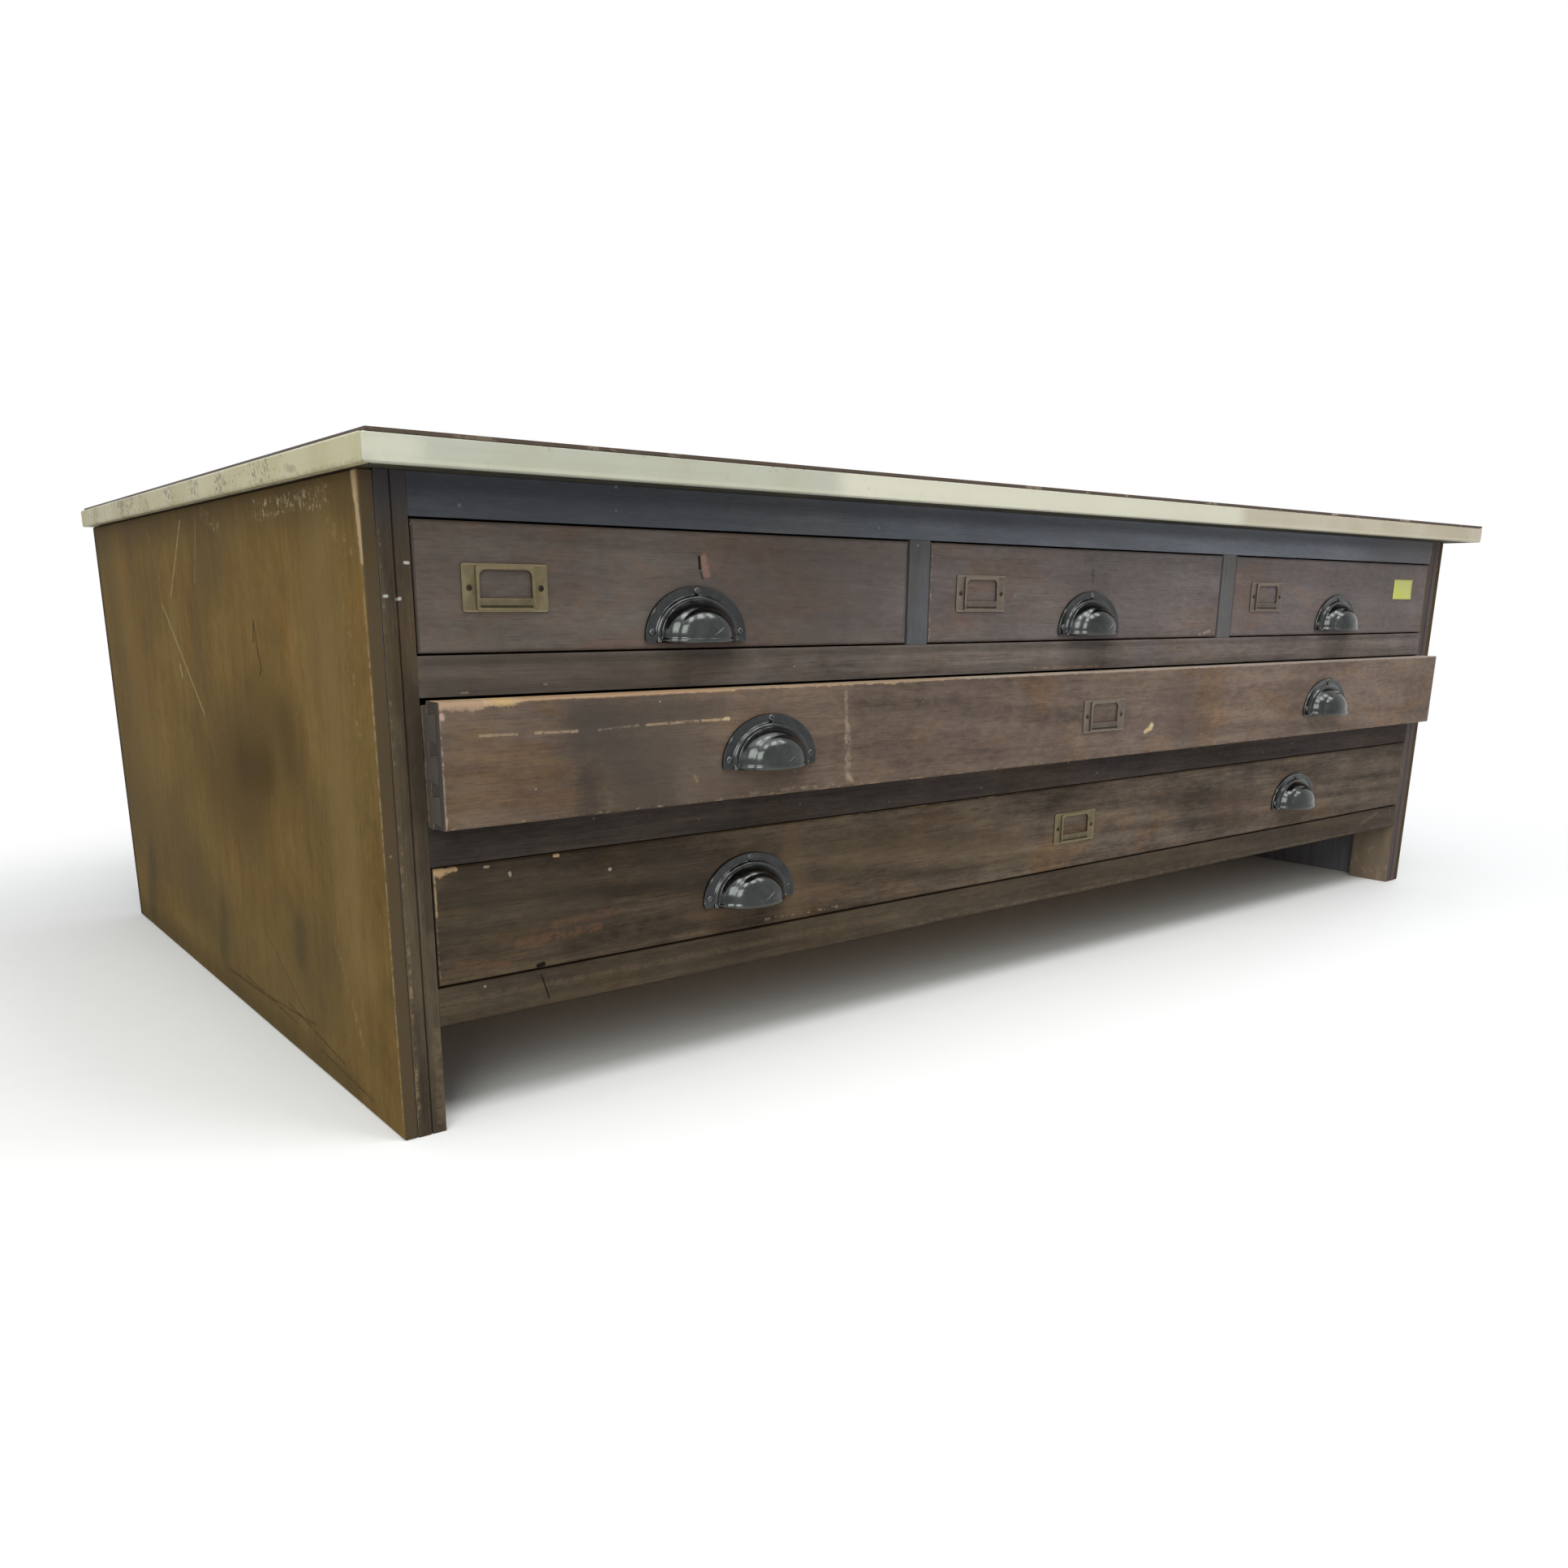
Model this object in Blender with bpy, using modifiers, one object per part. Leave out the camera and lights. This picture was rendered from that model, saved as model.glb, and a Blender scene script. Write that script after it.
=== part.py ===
"""Low flat file cabinet with five drawers, built up piece by piece.

The carcass has two side panels, a face frame of posts and rails with mortise
and tenon joints, ladder frames of drawer runners, a plywood back and an
overhanging top with edge strips and a thin covering.  Three small drawers
stand above two wide ones.  Each drawer is a front with lapped dovetails, two
sides, a back and a grooved-in bottom, with cup pulls and card holders.

Lengths are metres, +X is to the right, the front faces -Y and +Z is up.
Sizes inside the cabinet are measured from the lower front corner of the left
side panel; the cabinet's empty then puts the origin under the middle of it.
"""

import math

import bmesh
import bpy
from mathutils import Matrix, Vector

# Carcass
carcass_width = 1.520
carcass_depth = 0.866
leg_height = 0.0835
side_panel_thickness = 0.0105
post_width = 0.022
post_depth = 0.055
rail_height = 0.0284
opening_height = 0.0918
divider_width = 0.0255
back_panel_thickness = 0.009
back_rail_depth = 0.022
panel_arris = 0.0012

# Groove worked down the face of each front post
bead_offset = 0.0100
bead_width = 0.0014
bead_depth = 0.0016

# Mortise and tenon joints of the face frame
tenon_length = 0.012
tenon_shoulder = 0.006
divider_tenon_length = 0.008

# Drawer runners with their guide strips, and the blocks that stop the fronts
runner_shelf_width = 0.018
runner_thickness = 0.018
guide_height = 0.015
stop_length = 0.030
stop_depth = 0.012
stop_height = 0.0045
stop_seat = 0.001
stop_inset = 0.060

# Top, its edge strips and its covering
top_thickness = 0.018
edge_strip_width = 0.009
back_strip_width = 0.040
overhang_front = 0.036
overhang_left = 0.010
overhang_right = 0.027
overhang_back = 0.004
strip_arris = 0.0010
covering_thickness = 0.0025
covering_left_inset = 0.004
covering_edge_inset = 0.0005

# Drawers
front_gap = 0.0015
front_thickness = 0.020
front_edge_radius = 0.0025
drawer_side_thickness = 0.011
drawer_side_drop = 0.004
drawer_back_thickness = 0.010
drawer_back_drop = 0.003
drawer_back_inset = 0.015
drawer_back_housing = 0.004
drawer_bottom_thickness = 0.005
drawer_bottom_rise = 0.008
drawer_groove_depth = 0.005
drawer_rear_clearance = 0.012
bearer_width = 0.045
bearer_thickness = 0.006
upper_wide_drawer_out = 0.0275

# Lapped dovetails that join the drawer sides to the front
dovetail_lap = 0.006
dovetail_flare = 0.002
dovetail_count = 3
dovetail_base_share = 0.62

# Cup pulls: a pressed shell, open below, on an arched flange
pull_width = 0.0975
pull_arch_height = 0.0381
pull_lip_height = 0.0050
pull_depth = 0.0245
pull_wall = 0.0013
pull_small_rise = 0.0061
pull_wide_rise = 0.0264
pull_wide_place = 0.3205
pull_arc_steps = 14
# Outer surface from the rim to the crown: radius as a share of half the
# width, and distance from the drawer front as a share of the pull's depth
pull_profile_shares = (
    (1.000, 0.015),
    (0.990, 0.085),
    (0.820, 0.075),
    (0.795, 0.160),
    (0.760, 0.190),
    (0.728, 0.165),
    (0.712, 0.195),
    (0.704, 0.360),
    (0.676, 0.500),
    (0.630, 0.585),
    (0.590, 0.605),
    (0.570, 0.690),
    (0.520, 0.800),
    (0.410, 0.910),
    (0.230, 0.980),
    (0.000, 1.000),
)
pull_ear_lift_share = 0.45
pull_ear_width_share = 0.985

# Card holders: a pressed brass frame with a screw ear at each end
holder_width = 0.067
holder_height = 0.033
holder_plate = 0.0009
holder_raise = 0.0011
holder_corner_radius = 0.0020
holder_ear = 0.0105
holder_window_width = 0.041
holder_window_height = 0.0195
holder_window_radius = 0.0045
holder_window_drop = 0.0040
holder_top_margin = 0.0012
holder_lip_rise = 0.0030
holder_lip_groove = 0.0016
holder_lip_depth = 0.0006
holder_screw_radius = 0.0017
holder_screw_inset = 0.0055
holder_small_place = 0.0340
holder_corner_steps = 3
holder_screw_sides = 10

# Clearances
joint_gap = 0.0003
cut_overrun = 0.004
weld_distance = 0.00001

# Heights and edges that follow from the sizes above
row_pitch = rail_height + opening_height
carcass_height = leg_height + rail_height + 3 * row_pitch
row_floors = [leg_height + rail_height + row * row_pitch for row in range(3)]
opening_left = side_panel_thickness + joint_gap + post_width
opening_right = carcass_width - opening_left
small_opening = (opening_right - opening_left - 2 * divider_width) / 3
wide_opening = opening_right - opening_left
back_plane = carcass_depth - back_panel_thickness
back_rail_front = back_plane - joint_gap - back_rail_depth
drawer_depth = back_plane - drawer_rear_clearance
drawer_side_height = opening_height - joint_gap - front_gap - drawer_side_drop
front_height = opening_height - 2 * front_gap
front_reach = max(overhang_front, upper_wide_drawer_out + joint_gap + pull_depth)
centre_x = (carcass_width + overhang_right - overhang_left) / 2
centre_y = (carcass_depth + overhang_back - front_reach) / 2

# Turns that stand a flat outline upright
side_plane = (math.pi / 2, 0, math.pi / 2)
front_plane = (math.pi / 2, 0, 0)
level_plane = (0, 0, 0)


def clear_scene():
    """Remove whatever the scene holds."""
    for item in list(bpy.data.objects):
        bpy.data.objects.remove(item, do_unlink=True)


def new_collection(name):
    """Return a new collection linked to the scene."""
    collection = bpy.data.collections.new(name)
    bpy.context.scene.collection.children.link(collection)
    return collection


def finish(name, colour, roughness, metallic=0.0):
    """Return a Principled material."""
    material = bpy.data.materials.new(name)
    material.use_nodes = True
    shader = material.node_tree.nodes["Principled BSDF"]
    shader.inputs["Base Color"].default_value = (*colour, 1.0)
    shader.inputs["Roughness"].default_value = roughness
    shader.inputs["Metallic"].default_value = metallic
    return material


clear_scene()
parts = new_collection("flat_file_cabinet")
cutters = new_collection("cutters")

painted_strip = finish("sage_painted_strip", (0.50, 0.52, 0.42), 0.45)
cream_strip = finish("cream_painted_strip", (0.55, 0.51, 0.36), 0.50)
dark_covering = finish("dark_covering", (0.045, 0.032, 0.024), 0.60)
side_wood = finish("olive_worn_wood", (0.135, 0.095, 0.040), 0.55)
frame_wood = finish("dark_frame_wood", (0.070, 0.052, 0.042), 0.50)
front_wood = finish("brown_drawer_wood", (0.095, 0.066, 0.045), 0.50)
inner_wood = finish("pale_inner_wood", (0.380, 0.265, 0.150), 0.65)
black_bronze = finish("black_bronze", (0.090, 0.092, 0.088), 0.28, 1.0)
old_brass = finish("old_brass", (0.300, 0.245, 0.130), 0.45, 1.0)


def link_object(name, mesh, material, parent, place=(0, 0, 0), collection=parts):
    """Return an object for the mesh, placed under its parent."""
    item = bpy.data.objects.new(name, mesh)
    collection.objects.link(item)
    item.parent = parent
    item.location = place
    if material is not None and not mesh.materials:
        mesh.materials.append(material)
    if collection is cutters:
        item.hide_render = True
        item.display_type = "WIRE"
    return item


def new_empty(name, parent, place):
    """Return an empty that other pieces hang from."""
    empty = bpy.data.objects.new(name, None)
    parts.objects.link(empty)
    empty.parent = parent
    empty.location = place
    return empty


def add_box(shape, low, high):
    """Add a box between two corners to a bmesh."""
    low, high = Vector(low), Vector(high)
    size = Matrix.Diagonal((*(high - low), 1.0))
    place = Matrix.Translation((low + high) / 2)
    bmesh.ops.create_cube(shape, size=1.0, matrix=place @ size)


def boxes_mesh(name, boxes):
    """Return one mesh that holds several boxes."""
    shape = bmesh.new()
    for low, high in boxes:
        add_box(shape, low, high)
    mesh = bpy.data.meshes.new(name)
    shape.to_mesh(mesh)
    shape.free()
    return mesh


def board(name, low, high, material, parent, arris=0.0):
    """Return a sawn board between two corners, its edges broken by an arris."""
    low, high = Vector(low), Vector(high)
    half = (high - low) / 2
    mesh = boxes_mesh(name, [(-half, half)])
    item = link_object(name, mesh, material, parent, (low + high) / 2)
    if arris:
        bevel = item.modifiers.new("arris", "BEVEL")
        bevel.width = arris
        bevel.segments = 1
        bevel.limit_method = "ANGLE"
    return item


def cutter_boxes(name, boxes, parent):
    """Return a cutter made of boxes."""
    return link_object(name, boxes_mesh(name, boxes), None, parent, collection=cutters)


def grown(box, gap):
    """Return a box grown by a gap on every side."""
    low, high = box
    return Vector(low) - Vector((gap, gap, gap)), Vector(high) + Vector((gap, gap, gap))


def combine(item, tool, operation):
    """Cut a piece by a tool, or join the tool to it."""
    change = item.modifiers.new(operation.lower(), "BOOLEAN")
    change.operation = operation
    change.solver = "EXACT"
    change.object = tool


def outline_mesh(name, outlines, thickness):
    """Return the mesh of flat outlines, extruded to a thickness about their plane."""
    curve = bpy.data.curves.new(name, "CURVE")
    curve.dimensions = "2D"
    curve.fill_mode = "BOTH"
    curve.extrude = thickness / 2
    for outline in outlines:
        spline = curve.splines.new("POLY")
        spline.points.add(len(outline) - 1)
        for point, (across, up) in zip(spline.points, outline):
            point.co = (across, up, 0, 1)
        spline.use_cyclic_u = True
    pattern = bpy.data.objects.new(name, curve)
    cutters.objects.link(pattern)
    bpy.context.view_layer.update()
    evaluated = pattern.evaluated_get(bpy.context.evaluated_depsgraph_get())
    mesh = bpy.data.meshes.new_from_object(evaluated)
    bpy.data.objects.remove(pattern, do_unlink=True)
    shape = bmesh.new()
    shape.from_mesh(mesh)
    bmesh.ops.remove_doubles(shape, verts=shape.verts, dist=weld_distance)
    bmesh.ops.recalc_face_normals(shape, faces=shape.faces)
    shape.to_mesh(mesh)
    shape.free()
    return mesh


def outline_piece(name, outlines, thickness, turn, place, material, parent, collection=parts):
    """Return a piece cut from flat stock to an outline."""
    mesh = outline_mesh(name, outlines, thickness)
    item = link_object(name, mesh, material, parent, place, collection)
    item.rotation_euler = turn
    return item


def add_tenoned_bar(shape, low, high, axis, shoulder, length):
    """Add a bar to a bmesh, with a tenon on both of its ends along an axis."""
    start = len(shape.faces)
    add_box(shape, low, high)
    shape.faces.ensure_lookup_table()
    along = Vector([1.0 if index == axis else 0.0 for index in range(3)])
    ends = [face for face in shape.faces[start:] if abs(face.normal @ along) > 0.5]
    for end in ends:
        away = along if end.normal @ along > 0 else -along
        bmesh.ops.inset_region(shape, faces=[end], thickness=shoulder, use_even_offset=True)
        tenon = bmesh.ops.extrude_face_region(shape, geom=[end])
        tip = [part for part in tenon["geom"] if isinstance(part, bmesh.types.BMVert)]
        bmesh.ops.translate(shape, verts=tip, vec=away * length)
        bmesh.ops.delete(shape, geom=[end], context="FACES_ONLY")


def tenoned_bar(name, low, high, axis, length, material, parent):
    """Return a bar of the face frame with a tenon on both ends."""
    shape = bmesh.new()
    add_tenoned_bar(shape, low, high, axis, tenon_shoulder, length)
    bmesh.ops.recalc_face_normals(shape, faces=shape.faces)
    mesh = bpy.data.meshes.new(name)
    shape.to_mesh(mesh)
    shape.free()
    return link_object(name, mesh, material, parent)


def mortise(low, high, axis, length):
    """Return the box that makes room for both tenons of a bar."""
    low, high = Vector(low), Vector(high)
    for index in range(3):
        if index == axis:
            low[index] -= length
            high[index] += length
        else:
            low[index] += tenon_shoulder
            high[index] -= tenon_shoulder
    return grown((low, high), joint_gap)


def rail_corners(floor):
    """Return the corners of a rail between its tenons, from its upper face."""
    low = (opening_left + joint_gap, 0, floor - rail_height)
    high = (opening_right - joint_gap, post_depth, floor)
    return low, high


def divider_corners(index):
    """Return the corners of an upright between two of the small drawers."""
    left = opening_left + (index + 1) * small_opening + index * divider_width
    low = (left, 0, row_floors[2] + joint_gap)
    high = (left + divider_width, post_depth, carcass_height - rail_height - joint_gap)
    return low, high


def build_face_frame(cabinet):
    """Build the posts, rails and dividers that frame the drawers."""
    rail_floors = {
        "bottom_rail": row_floors[0],
        "middle_rail": row_floors[1],
        "upper_rail": row_floors[2],
        "top_rail": carcass_height,
    }
    rails = {}
    mortises = []
    for name, floor in rail_floors.items():
        low, high = rail_corners(floor)
        rails[name] = tenoned_bar(name, low, high, 0, tenon_length, frame_wood, cabinet)
        mortises.append(mortise(low, high, 0, tenon_length))
    rail_mortises = cutter_boxes("rail_mortises", mortises, cabinet)

    bead_reach = bead_offset + bead_width
    for side, left, bead_left in (
        ("left", opening_left - post_width, opening_left - post_width + bead_offset),
        ("right", opening_right, opening_right + post_width - bead_reach),
    ):
        post = board(
            f"{side}_front_post",
            (left, 0, 0),
            (left + post_width, post_depth, carcass_height),
            frame_wood,
            cabinet,
        )
        bead_low = (bead_left, -cut_overrun, -cut_overrun)
        bead_high = (bead_left + bead_width, bead_depth, carcass_height + cut_overrun)
        bead = cutter_boxes(f"{side}_bead", [(bead_low, bead_high)], cabinet)
        combine(post, rail_mortises, "DIFFERENCE")
        combine(post, bead, "DIFFERENCE")

    divider_mortises = []
    for index, name in enumerate(("left_divider", "right_divider")):
        low, high = divider_corners(index)
        tenoned_bar(name, low, high, 2, divider_tenon_length, frame_wood, cabinet)
        divider_mortises.append(mortise(low, high, 2, divider_tenon_length))
    divider_room = cutter_boxes("divider_mortises", divider_mortises, cabinet)
    combine(rails["upper_rail"], divider_room, "DIFFERENCE")
    combine(rails["top_rail"], divider_room, "DIFFERENCE")
    add_stop_blocks(rails, cabinet)


def add_stop_blocks(rails, cabinet):
    """Join to the rails the small blocks that stop each drawer front."""
    stop_front = front_thickness + joint_gap
    for name, floor, openings in (
        ("bottom_rail", row_floors[0], [(opening_left, opening_right)]),
        ("middle_rail", row_floors[1], [(opening_left, opening_right)]),
        ("upper_rail", row_floors[2], small_openings()),
    ):
        blocks = []
        for left, right in openings:
            for start in (left + stop_inset, right - stop_inset - stop_length):
                low = (start, stop_front, floor - stop_seat)
                high = (start + stop_length, stop_front + stop_depth, floor + stop_height)
                blocks.append((low, high))
        combine(rails[name], cutter_boxes(f"{name}_stops", blocks, cabinet), "UNION")


def small_openings():
    """Return the left and right edge of each small drawer's opening."""
    pitch = small_opening + divider_width
    lefts = [opening_left + index * pitch for index in range(3)]
    return [(left, left + small_opening) for left in lefts]


def build_side_panels(cabinet):
    """Build the two side panels, which also stand on the floor as legs."""
    for name, left in (
        ("left_side_panel", 0),
        ("right_side_panel", carcass_width - side_panel_thickness),
    ):
        board(
            name,
            (left, 0, 0),
            (left + side_panel_thickness, carcass_depth, carcass_height),
            side_wood,
            cabinet,
            panel_arris,
        )


def build_runner_frames(cabinet):
    """Build a rear post with three drawer runners for each side."""
    run_start = post_depth + joint_gap
    run_end = back_rail_front - joint_gap
    post_front = back_plane - joint_gap - post_depth
    inner = side_panel_thickness + joint_gap
    section = (
        (inner, -runner_thickness),
        (opening_left + runner_shelf_width, -runner_thickness),
        (opening_left + runner_shelf_width, 0),
        (opening_left, 0),
        (opening_left, guide_height),
        (inner, guide_height),
    )
    for side, mirrored in (("left", False), ("right", True)):
        outline = section
        post_edges = (inner, opening_left)
        if mirrored:
            outline = [(carcass_width - across, up) for across, up in section]
            post_edges = (opening_right, carcass_width - inner)
        frame = board(
            f"{side}_runner_frame",
            (post_edges[0], post_front, 0),
            (post_edges[1], back_plane - joint_gap, carcass_height),
            inner_wood,
            cabinet,
        )
        for row, floor in enumerate(row_floors):
            runner = outline_piece(
                f"{side}_runner_{row}",
                [outline],
                run_end - run_start,
                front_plane,
                (0, (run_start + run_end) / 2, floor),
                None,
                cabinet,
                cutters,
            )
            combine(frame, runner, "UNION")


def build_centre_runners(cabinet):
    """Build the runners behind the dividers and the rail that carries them."""
    floor = row_floors[2]
    board(
        "upper_back_rail",
        (opening_left + joint_gap, back_rail_front, floor - rail_height),
        (opening_right - joint_gap, back_plane - joint_gap, floor),
        inner_wood,
        cabinet,
    )
    run_start = post_depth + joint_gap
    run_end = back_rail_front - joint_gap
    half_guide = divider_width / 2
    half_shelf = half_guide + runner_shelf_width
    section = (
        (-half_shelf, -runner_thickness),
        (half_shelf, -runner_thickness),
        (half_shelf, 0),
        (half_guide, 0),
        (half_guide, guide_height),
        (-half_guide, guide_height),
        (-half_guide, 0),
        (-half_shelf, 0),
    )
    for index, name in enumerate(("left_centre_runner", "right_centre_runner")):
        low, high = divider_corners(index)
        outline_piece(
            name,
            [section],
            run_end - run_start,
            front_plane,
            ((low[0] + high[0]) / 2, (run_start + run_end) / 2, floor),
            inner_wood,
            cabinet,
        )


def build_back_panel(cabinet):
    """Build the back, set between the side panels and open at the feet."""
    board(
        "back_panel",
        (side_panel_thickness + joint_gap, back_plane, leg_height),
        (carcass_width - side_panel_thickness - joint_gap, carcass_depth, carcass_height),
        inner_wood,
        cabinet,
    )


def build_top(cabinet):
    """Build the top, its mitred edge strips and its covering."""
    left = -overhang_left
    right = carcass_width + overhang_right
    front = -overhang_front
    back = carcass_depth + overhang_back
    back_strip = back - back_strip_width
    base = carcass_height + joint_gap
    middle = base + top_thickness / 2
    inner_left = left + edge_strip_width
    inner_right = right - edge_strip_width
    inner_front = front + edge_strip_width
    side_end = back_strip - joint_gap
    mitre_gap = joint_gap * math.sqrt(2)
    strips = (
        (
            "front_edge_strip",
            (
                (left, front),
                (right, front),
                (inner_right, inner_front),
                (inner_left, inner_front),
            ),
            painted_strip,
        ),
        (
            "left_edge_strip",
            (
                (left, front + mitre_gap),
                (inner_left, inner_front + mitre_gap),
                (inner_left, side_end),
                (left, side_end),
            ),
            cream_strip,
        ),
        (
            "right_edge_strip",
            (
                (right, front + mitre_gap),
                (right, side_end),
                (inner_right, side_end),
                (inner_right, inner_front + mitre_gap),
            ),
            cream_strip,
        ),
        (
            "back_edge_strip",
            ((left, back_strip), (right, back_strip), (right, back), (left, back)),
            cream_strip,
        ),
    )
    for name, outline, material in strips:
        strip = outline_piece(
            name, [outline], top_thickness, level_plane, (0, 0, middle), material, cabinet
        )
        arris = strip.modifiers.new("arris", "BEVEL")
        arris.width = strip_arris
        arris.segments = 1
        arris.limit_method = "ANGLE"
    board(
        "top_board",
        (inner_left + joint_gap, inner_front + joint_gap, base),
        (inner_right - joint_gap, back_strip - joint_gap, base + top_thickness),
        side_wood,
        cabinet,
    )
    covering_base = base + top_thickness + joint_gap
    board(
        "top_covering",
        (left + covering_left_inset, front + covering_edge_inset, covering_base),
        (
            right - covering_edge_inset,
            back - covering_edge_inset,
            covering_base + covering_thickness,
        ),
        dark_covering,
        cabinet,
    )


def dovetail_bands():
    """Return the centre height and the half width at the root of each tail."""
    pitch = drawer_side_height / dovetail_count
    half = pitch * dovetail_base_share / 2
    return [((index + 0.5) * pitch, half) for index in range(dovetail_count)]


def side_outline():
    """Return a drawer side's outline with its tails, seen from the side."""
    shoulder = front_thickness + joint_gap
    tip = dovetail_lap + joint_gap
    points = [(drawer_depth, 0), (shoulder, 0)]
    for centre, half in dovetail_bands():
        flared = half + dovetail_flare
        points += [
            (shoulder, centre - half),
            (tip, centre - flared),
            (tip, centre + flared),
            (shoulder, centre + half),
        ]
    points += [(shoulder, drawer_side_height), (drawer_depth, drawer_side_height)]
    return points


def socket_outlines():
    """Return the outlines of the sockets that the tails fill."""
    root = front_thickness + joint_gap
    slope = dovetail_flare / (front_thickness - dovetail_lap)
    start = dovetail_lap
    end = front_thickness + cut_overrun
    outlines = []
    for centre, half in dovetail_bands():
        wide = half + slope * (root - start) + joint_gap
        narrow = half + slope * (root - end) + joint_gap
        outlines.append(
            [
                (start, centre - wide),
                (end, centre - narrow),
                (end, centre + narrow),
                (start, centre + wide),
            ]
        )
    return outlines


def build_drawer_front(name, width, slide):
    """Build a drawer front with its outer edges rounded over."""
    shape = bmesh.new()
    add_box(
        shape,
        (0, 0, front_gap),
        (width, front_thickness, front_gap + front_height),
    )
    outer = [
        edge
        for edge in shape.edges
        if all(vert.co.y < front_thickness / 2 for vert in edge.verts)
    ]
    bmesh.ops.bevel(
        shape,
        geom=outer,
        offset=front_edge_radius,
        offset_type="OFFSET",
        segments=3,
        profile=0.5,
        affect="EDGES",
        material=-1,
    )
    mesh = bpy.data.meshes.new(name)
    shape.to_mesh(mesh)
    shape.free()
    return link_object(name, mesh, front_wood, slide)


def build_drawer_box(drawer, width, wide, slide):
    """Build the front, sides, back and bottom of one drawer."""
    base = joint_gap
    front = build_drawer_front(f"{drawer}_front", width, slide)
    sides = []
    for side, place in (("left", 0), ("right", width - drawer_side_thickness)):
        sides.append(
            outline_piece(
                f"{drawer}_{side}_side",
                [side_outline()],
                drawer_side_thickness,
                side_plane,
                (place + drawer_side_thickness / 2, 0, base),
                inner_wood,
                slide,
            )
        )
        reach = drawer_side_thickness + joint_gap + cut_overrun
        socket_left = -cut_overrun if side == "left" else width + cut_overrun - reach
        sockets = outline_piece(
            f"{drawer}_{side}_sockets",
            socket_outlines(),
            reach,
            side_plane,
            (socket_left + reach / 2, 0, base),
            None,
            slide,
            cutters,
        )
        combine(front, sockets, "DIFFERENCE")

    bottom_floor = base + drawer_bottom_rise
    bottom_edge = drawer_side_thickness - drawer_groove_depth
    bottom_low = Vector((bottom_edge, front_thickness - drawer_groove_depth, bottom_floor))
    bottom_high = Vector(
        (width - bottom_edge, drawer_depth, bottom_floor + drawer_bottom_thickness)
    )
    bottom = board(f"{drawer}_bottom", bottom_low, bottom_high, inner_wood, slide)
    groove_low, groove_high = grown((bottom_low, bottom_high), joint_gap)
    groove_high.y += cut_overrun
    groove = cutter_boxes(f"{drawer}_groove", [(groove_low, groove_high)], slide)

    back_edge = drawer_side_thickness - drawer_back_housing
    back_rear = drawer_depth - drawer_back_inset
    back_low = Vector(
        (back_edge, back_rear - drawer_back_thickness, bottom_high.z + joint_gap)
    )
    back_high = Vector(
        (width - back_edge, back_rear, base + drawer_side_height - drawer_back_drop)
    )
    board(f"{drawer}_back", back_low, back_high, inner_wood, slide)
    housing_low, housing_high = grown((back_low, back_high), joint_gap)
    housing_high.z += drawer_back_drop + cut_overrun
    housing = cutter_boxes(f"{drawer}_housing", [(housing_low, housing_high)], slide)

    combine(front, groove, "DIFFERENCE")
    for side in sides:
        combine(side, groove, "DIFFERENCE")
        combine(side, housing, "DIFFERENCE")
    if wide:
        bearer_low = (
            (width - bearer_width) / 2,
            front_thickness + joint_gap,
            bottom_floor - bearer_thickness,
        )
        bearer_high = (
            (width + bearer_width) / 2,
            drawer_depth - drawer_back_inset,
            bottom_floor + drawer_bottom_thickness / 2,
        )
        bearer = cutter_boxes(f"{drawer}_bearer", [(bearer_low, bearer_high)], slide)
        combine(bottom, bearer, "UNION")


def pull_shell_mesh():
    """Return the cup pull's mesh, centred on its mouth line, open below."""
    shape = bmesh.new()
    half = pull_width / 2
    points = [
        shape.verts.new((share * half, -depth_share * pull_depth, 0))
        for share, depth_share in pull_profile_shares
    ]
    edges = [shape.edges.new(pair) for pair in zip(points, points[1:])]
    bmesh.ops.spin(
        shape,
        geom=points + edges,
        cent=(0, 0, 0),
        axis=(0, -1, 0),
        angle=math.pi,
        steps=pull_arc_steps,
        use_merge=False,
    )
    bmesh.ops.remove_doubles(shape, verts=shape.verts, dist=weld_distance)
    bmesh.ops.scale(shape, verts=shape.verts, vec=(1, 1, pull_arch_height / half))
    mouth = [
        edge
        for edge in shape.edges
        if edge.is_boundary and all(abs(vert.co.z) < joint_gap for vert in edge.verts)
    ]
    band = bmesh.ops.extrude_edge_only(shape, edges=mouth)
    lip = [part for part in band["geom"] if isinstance(part, bmesh.types.BMVert)]
    for vert in lip:
        ear = abs(vert.co.x) > half * pull_ear_width_share
        vert.co.z -= pull_lip_height * (1 - pull_ear_lift_share if ear else 1)
    bmesh.ops.recalc_face_normals(shape, faces=shape.faces)
    crown = max(shape.faces, key=lambda face: -face.calc_center_median().y)
    if crown.normal.y > 0:
        bmesh.ops.reverse_faces(shape, faces=shape.faces)
    for face in shape.faces:
        face.smooth = True
    mesh = bpy.data.meshes.new("cup_pull")
    shape.to_mesh(mesh)
    shape.free()
    return mesh


def build_pull(name, across, rise, slide, mesh):
    """Build a cup pull on a drawer front, its lip at a given rise."""
    place = (across, -joint_gap, rise + pull_lip_height)
    pull = link_object(name, mesh, black_bronze, slide, place)
    wall = pull.modifiers.new("wall", "SOLIDIFY")
    wall.thickness = pull_wall
    wall.offset = -1.0


def rounded_outline(left, low, width, height, lower_radius, upper_radius):
    """Return a rectangle whose lower and upper corners have their own radius."""
    points = []
    corners = (
        (left + width - lower_radius, low + lower_radius, lower_radius, -math.pi / 2),
        (left + width - upper_radius, low + height - upper_radius, upper_radius, 0),
        (left + upper_radius, low + height - upper_radius, upper_radius, math.pi / 2),
        (left + lower_radius, low + lower_radius, lower_radius, math.pi),
    )
    for across, up, radius, start in corners:
        if not radius:
            points.append((across, up))
            continue
        for step in range(holder_corner_steps + 1):
            angle = start + step * math.pi / 2 / holder_corner_steps
            points.append((across + radius * math.cos(angle), up + radius * math.sin(angle)))
    return points


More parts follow.
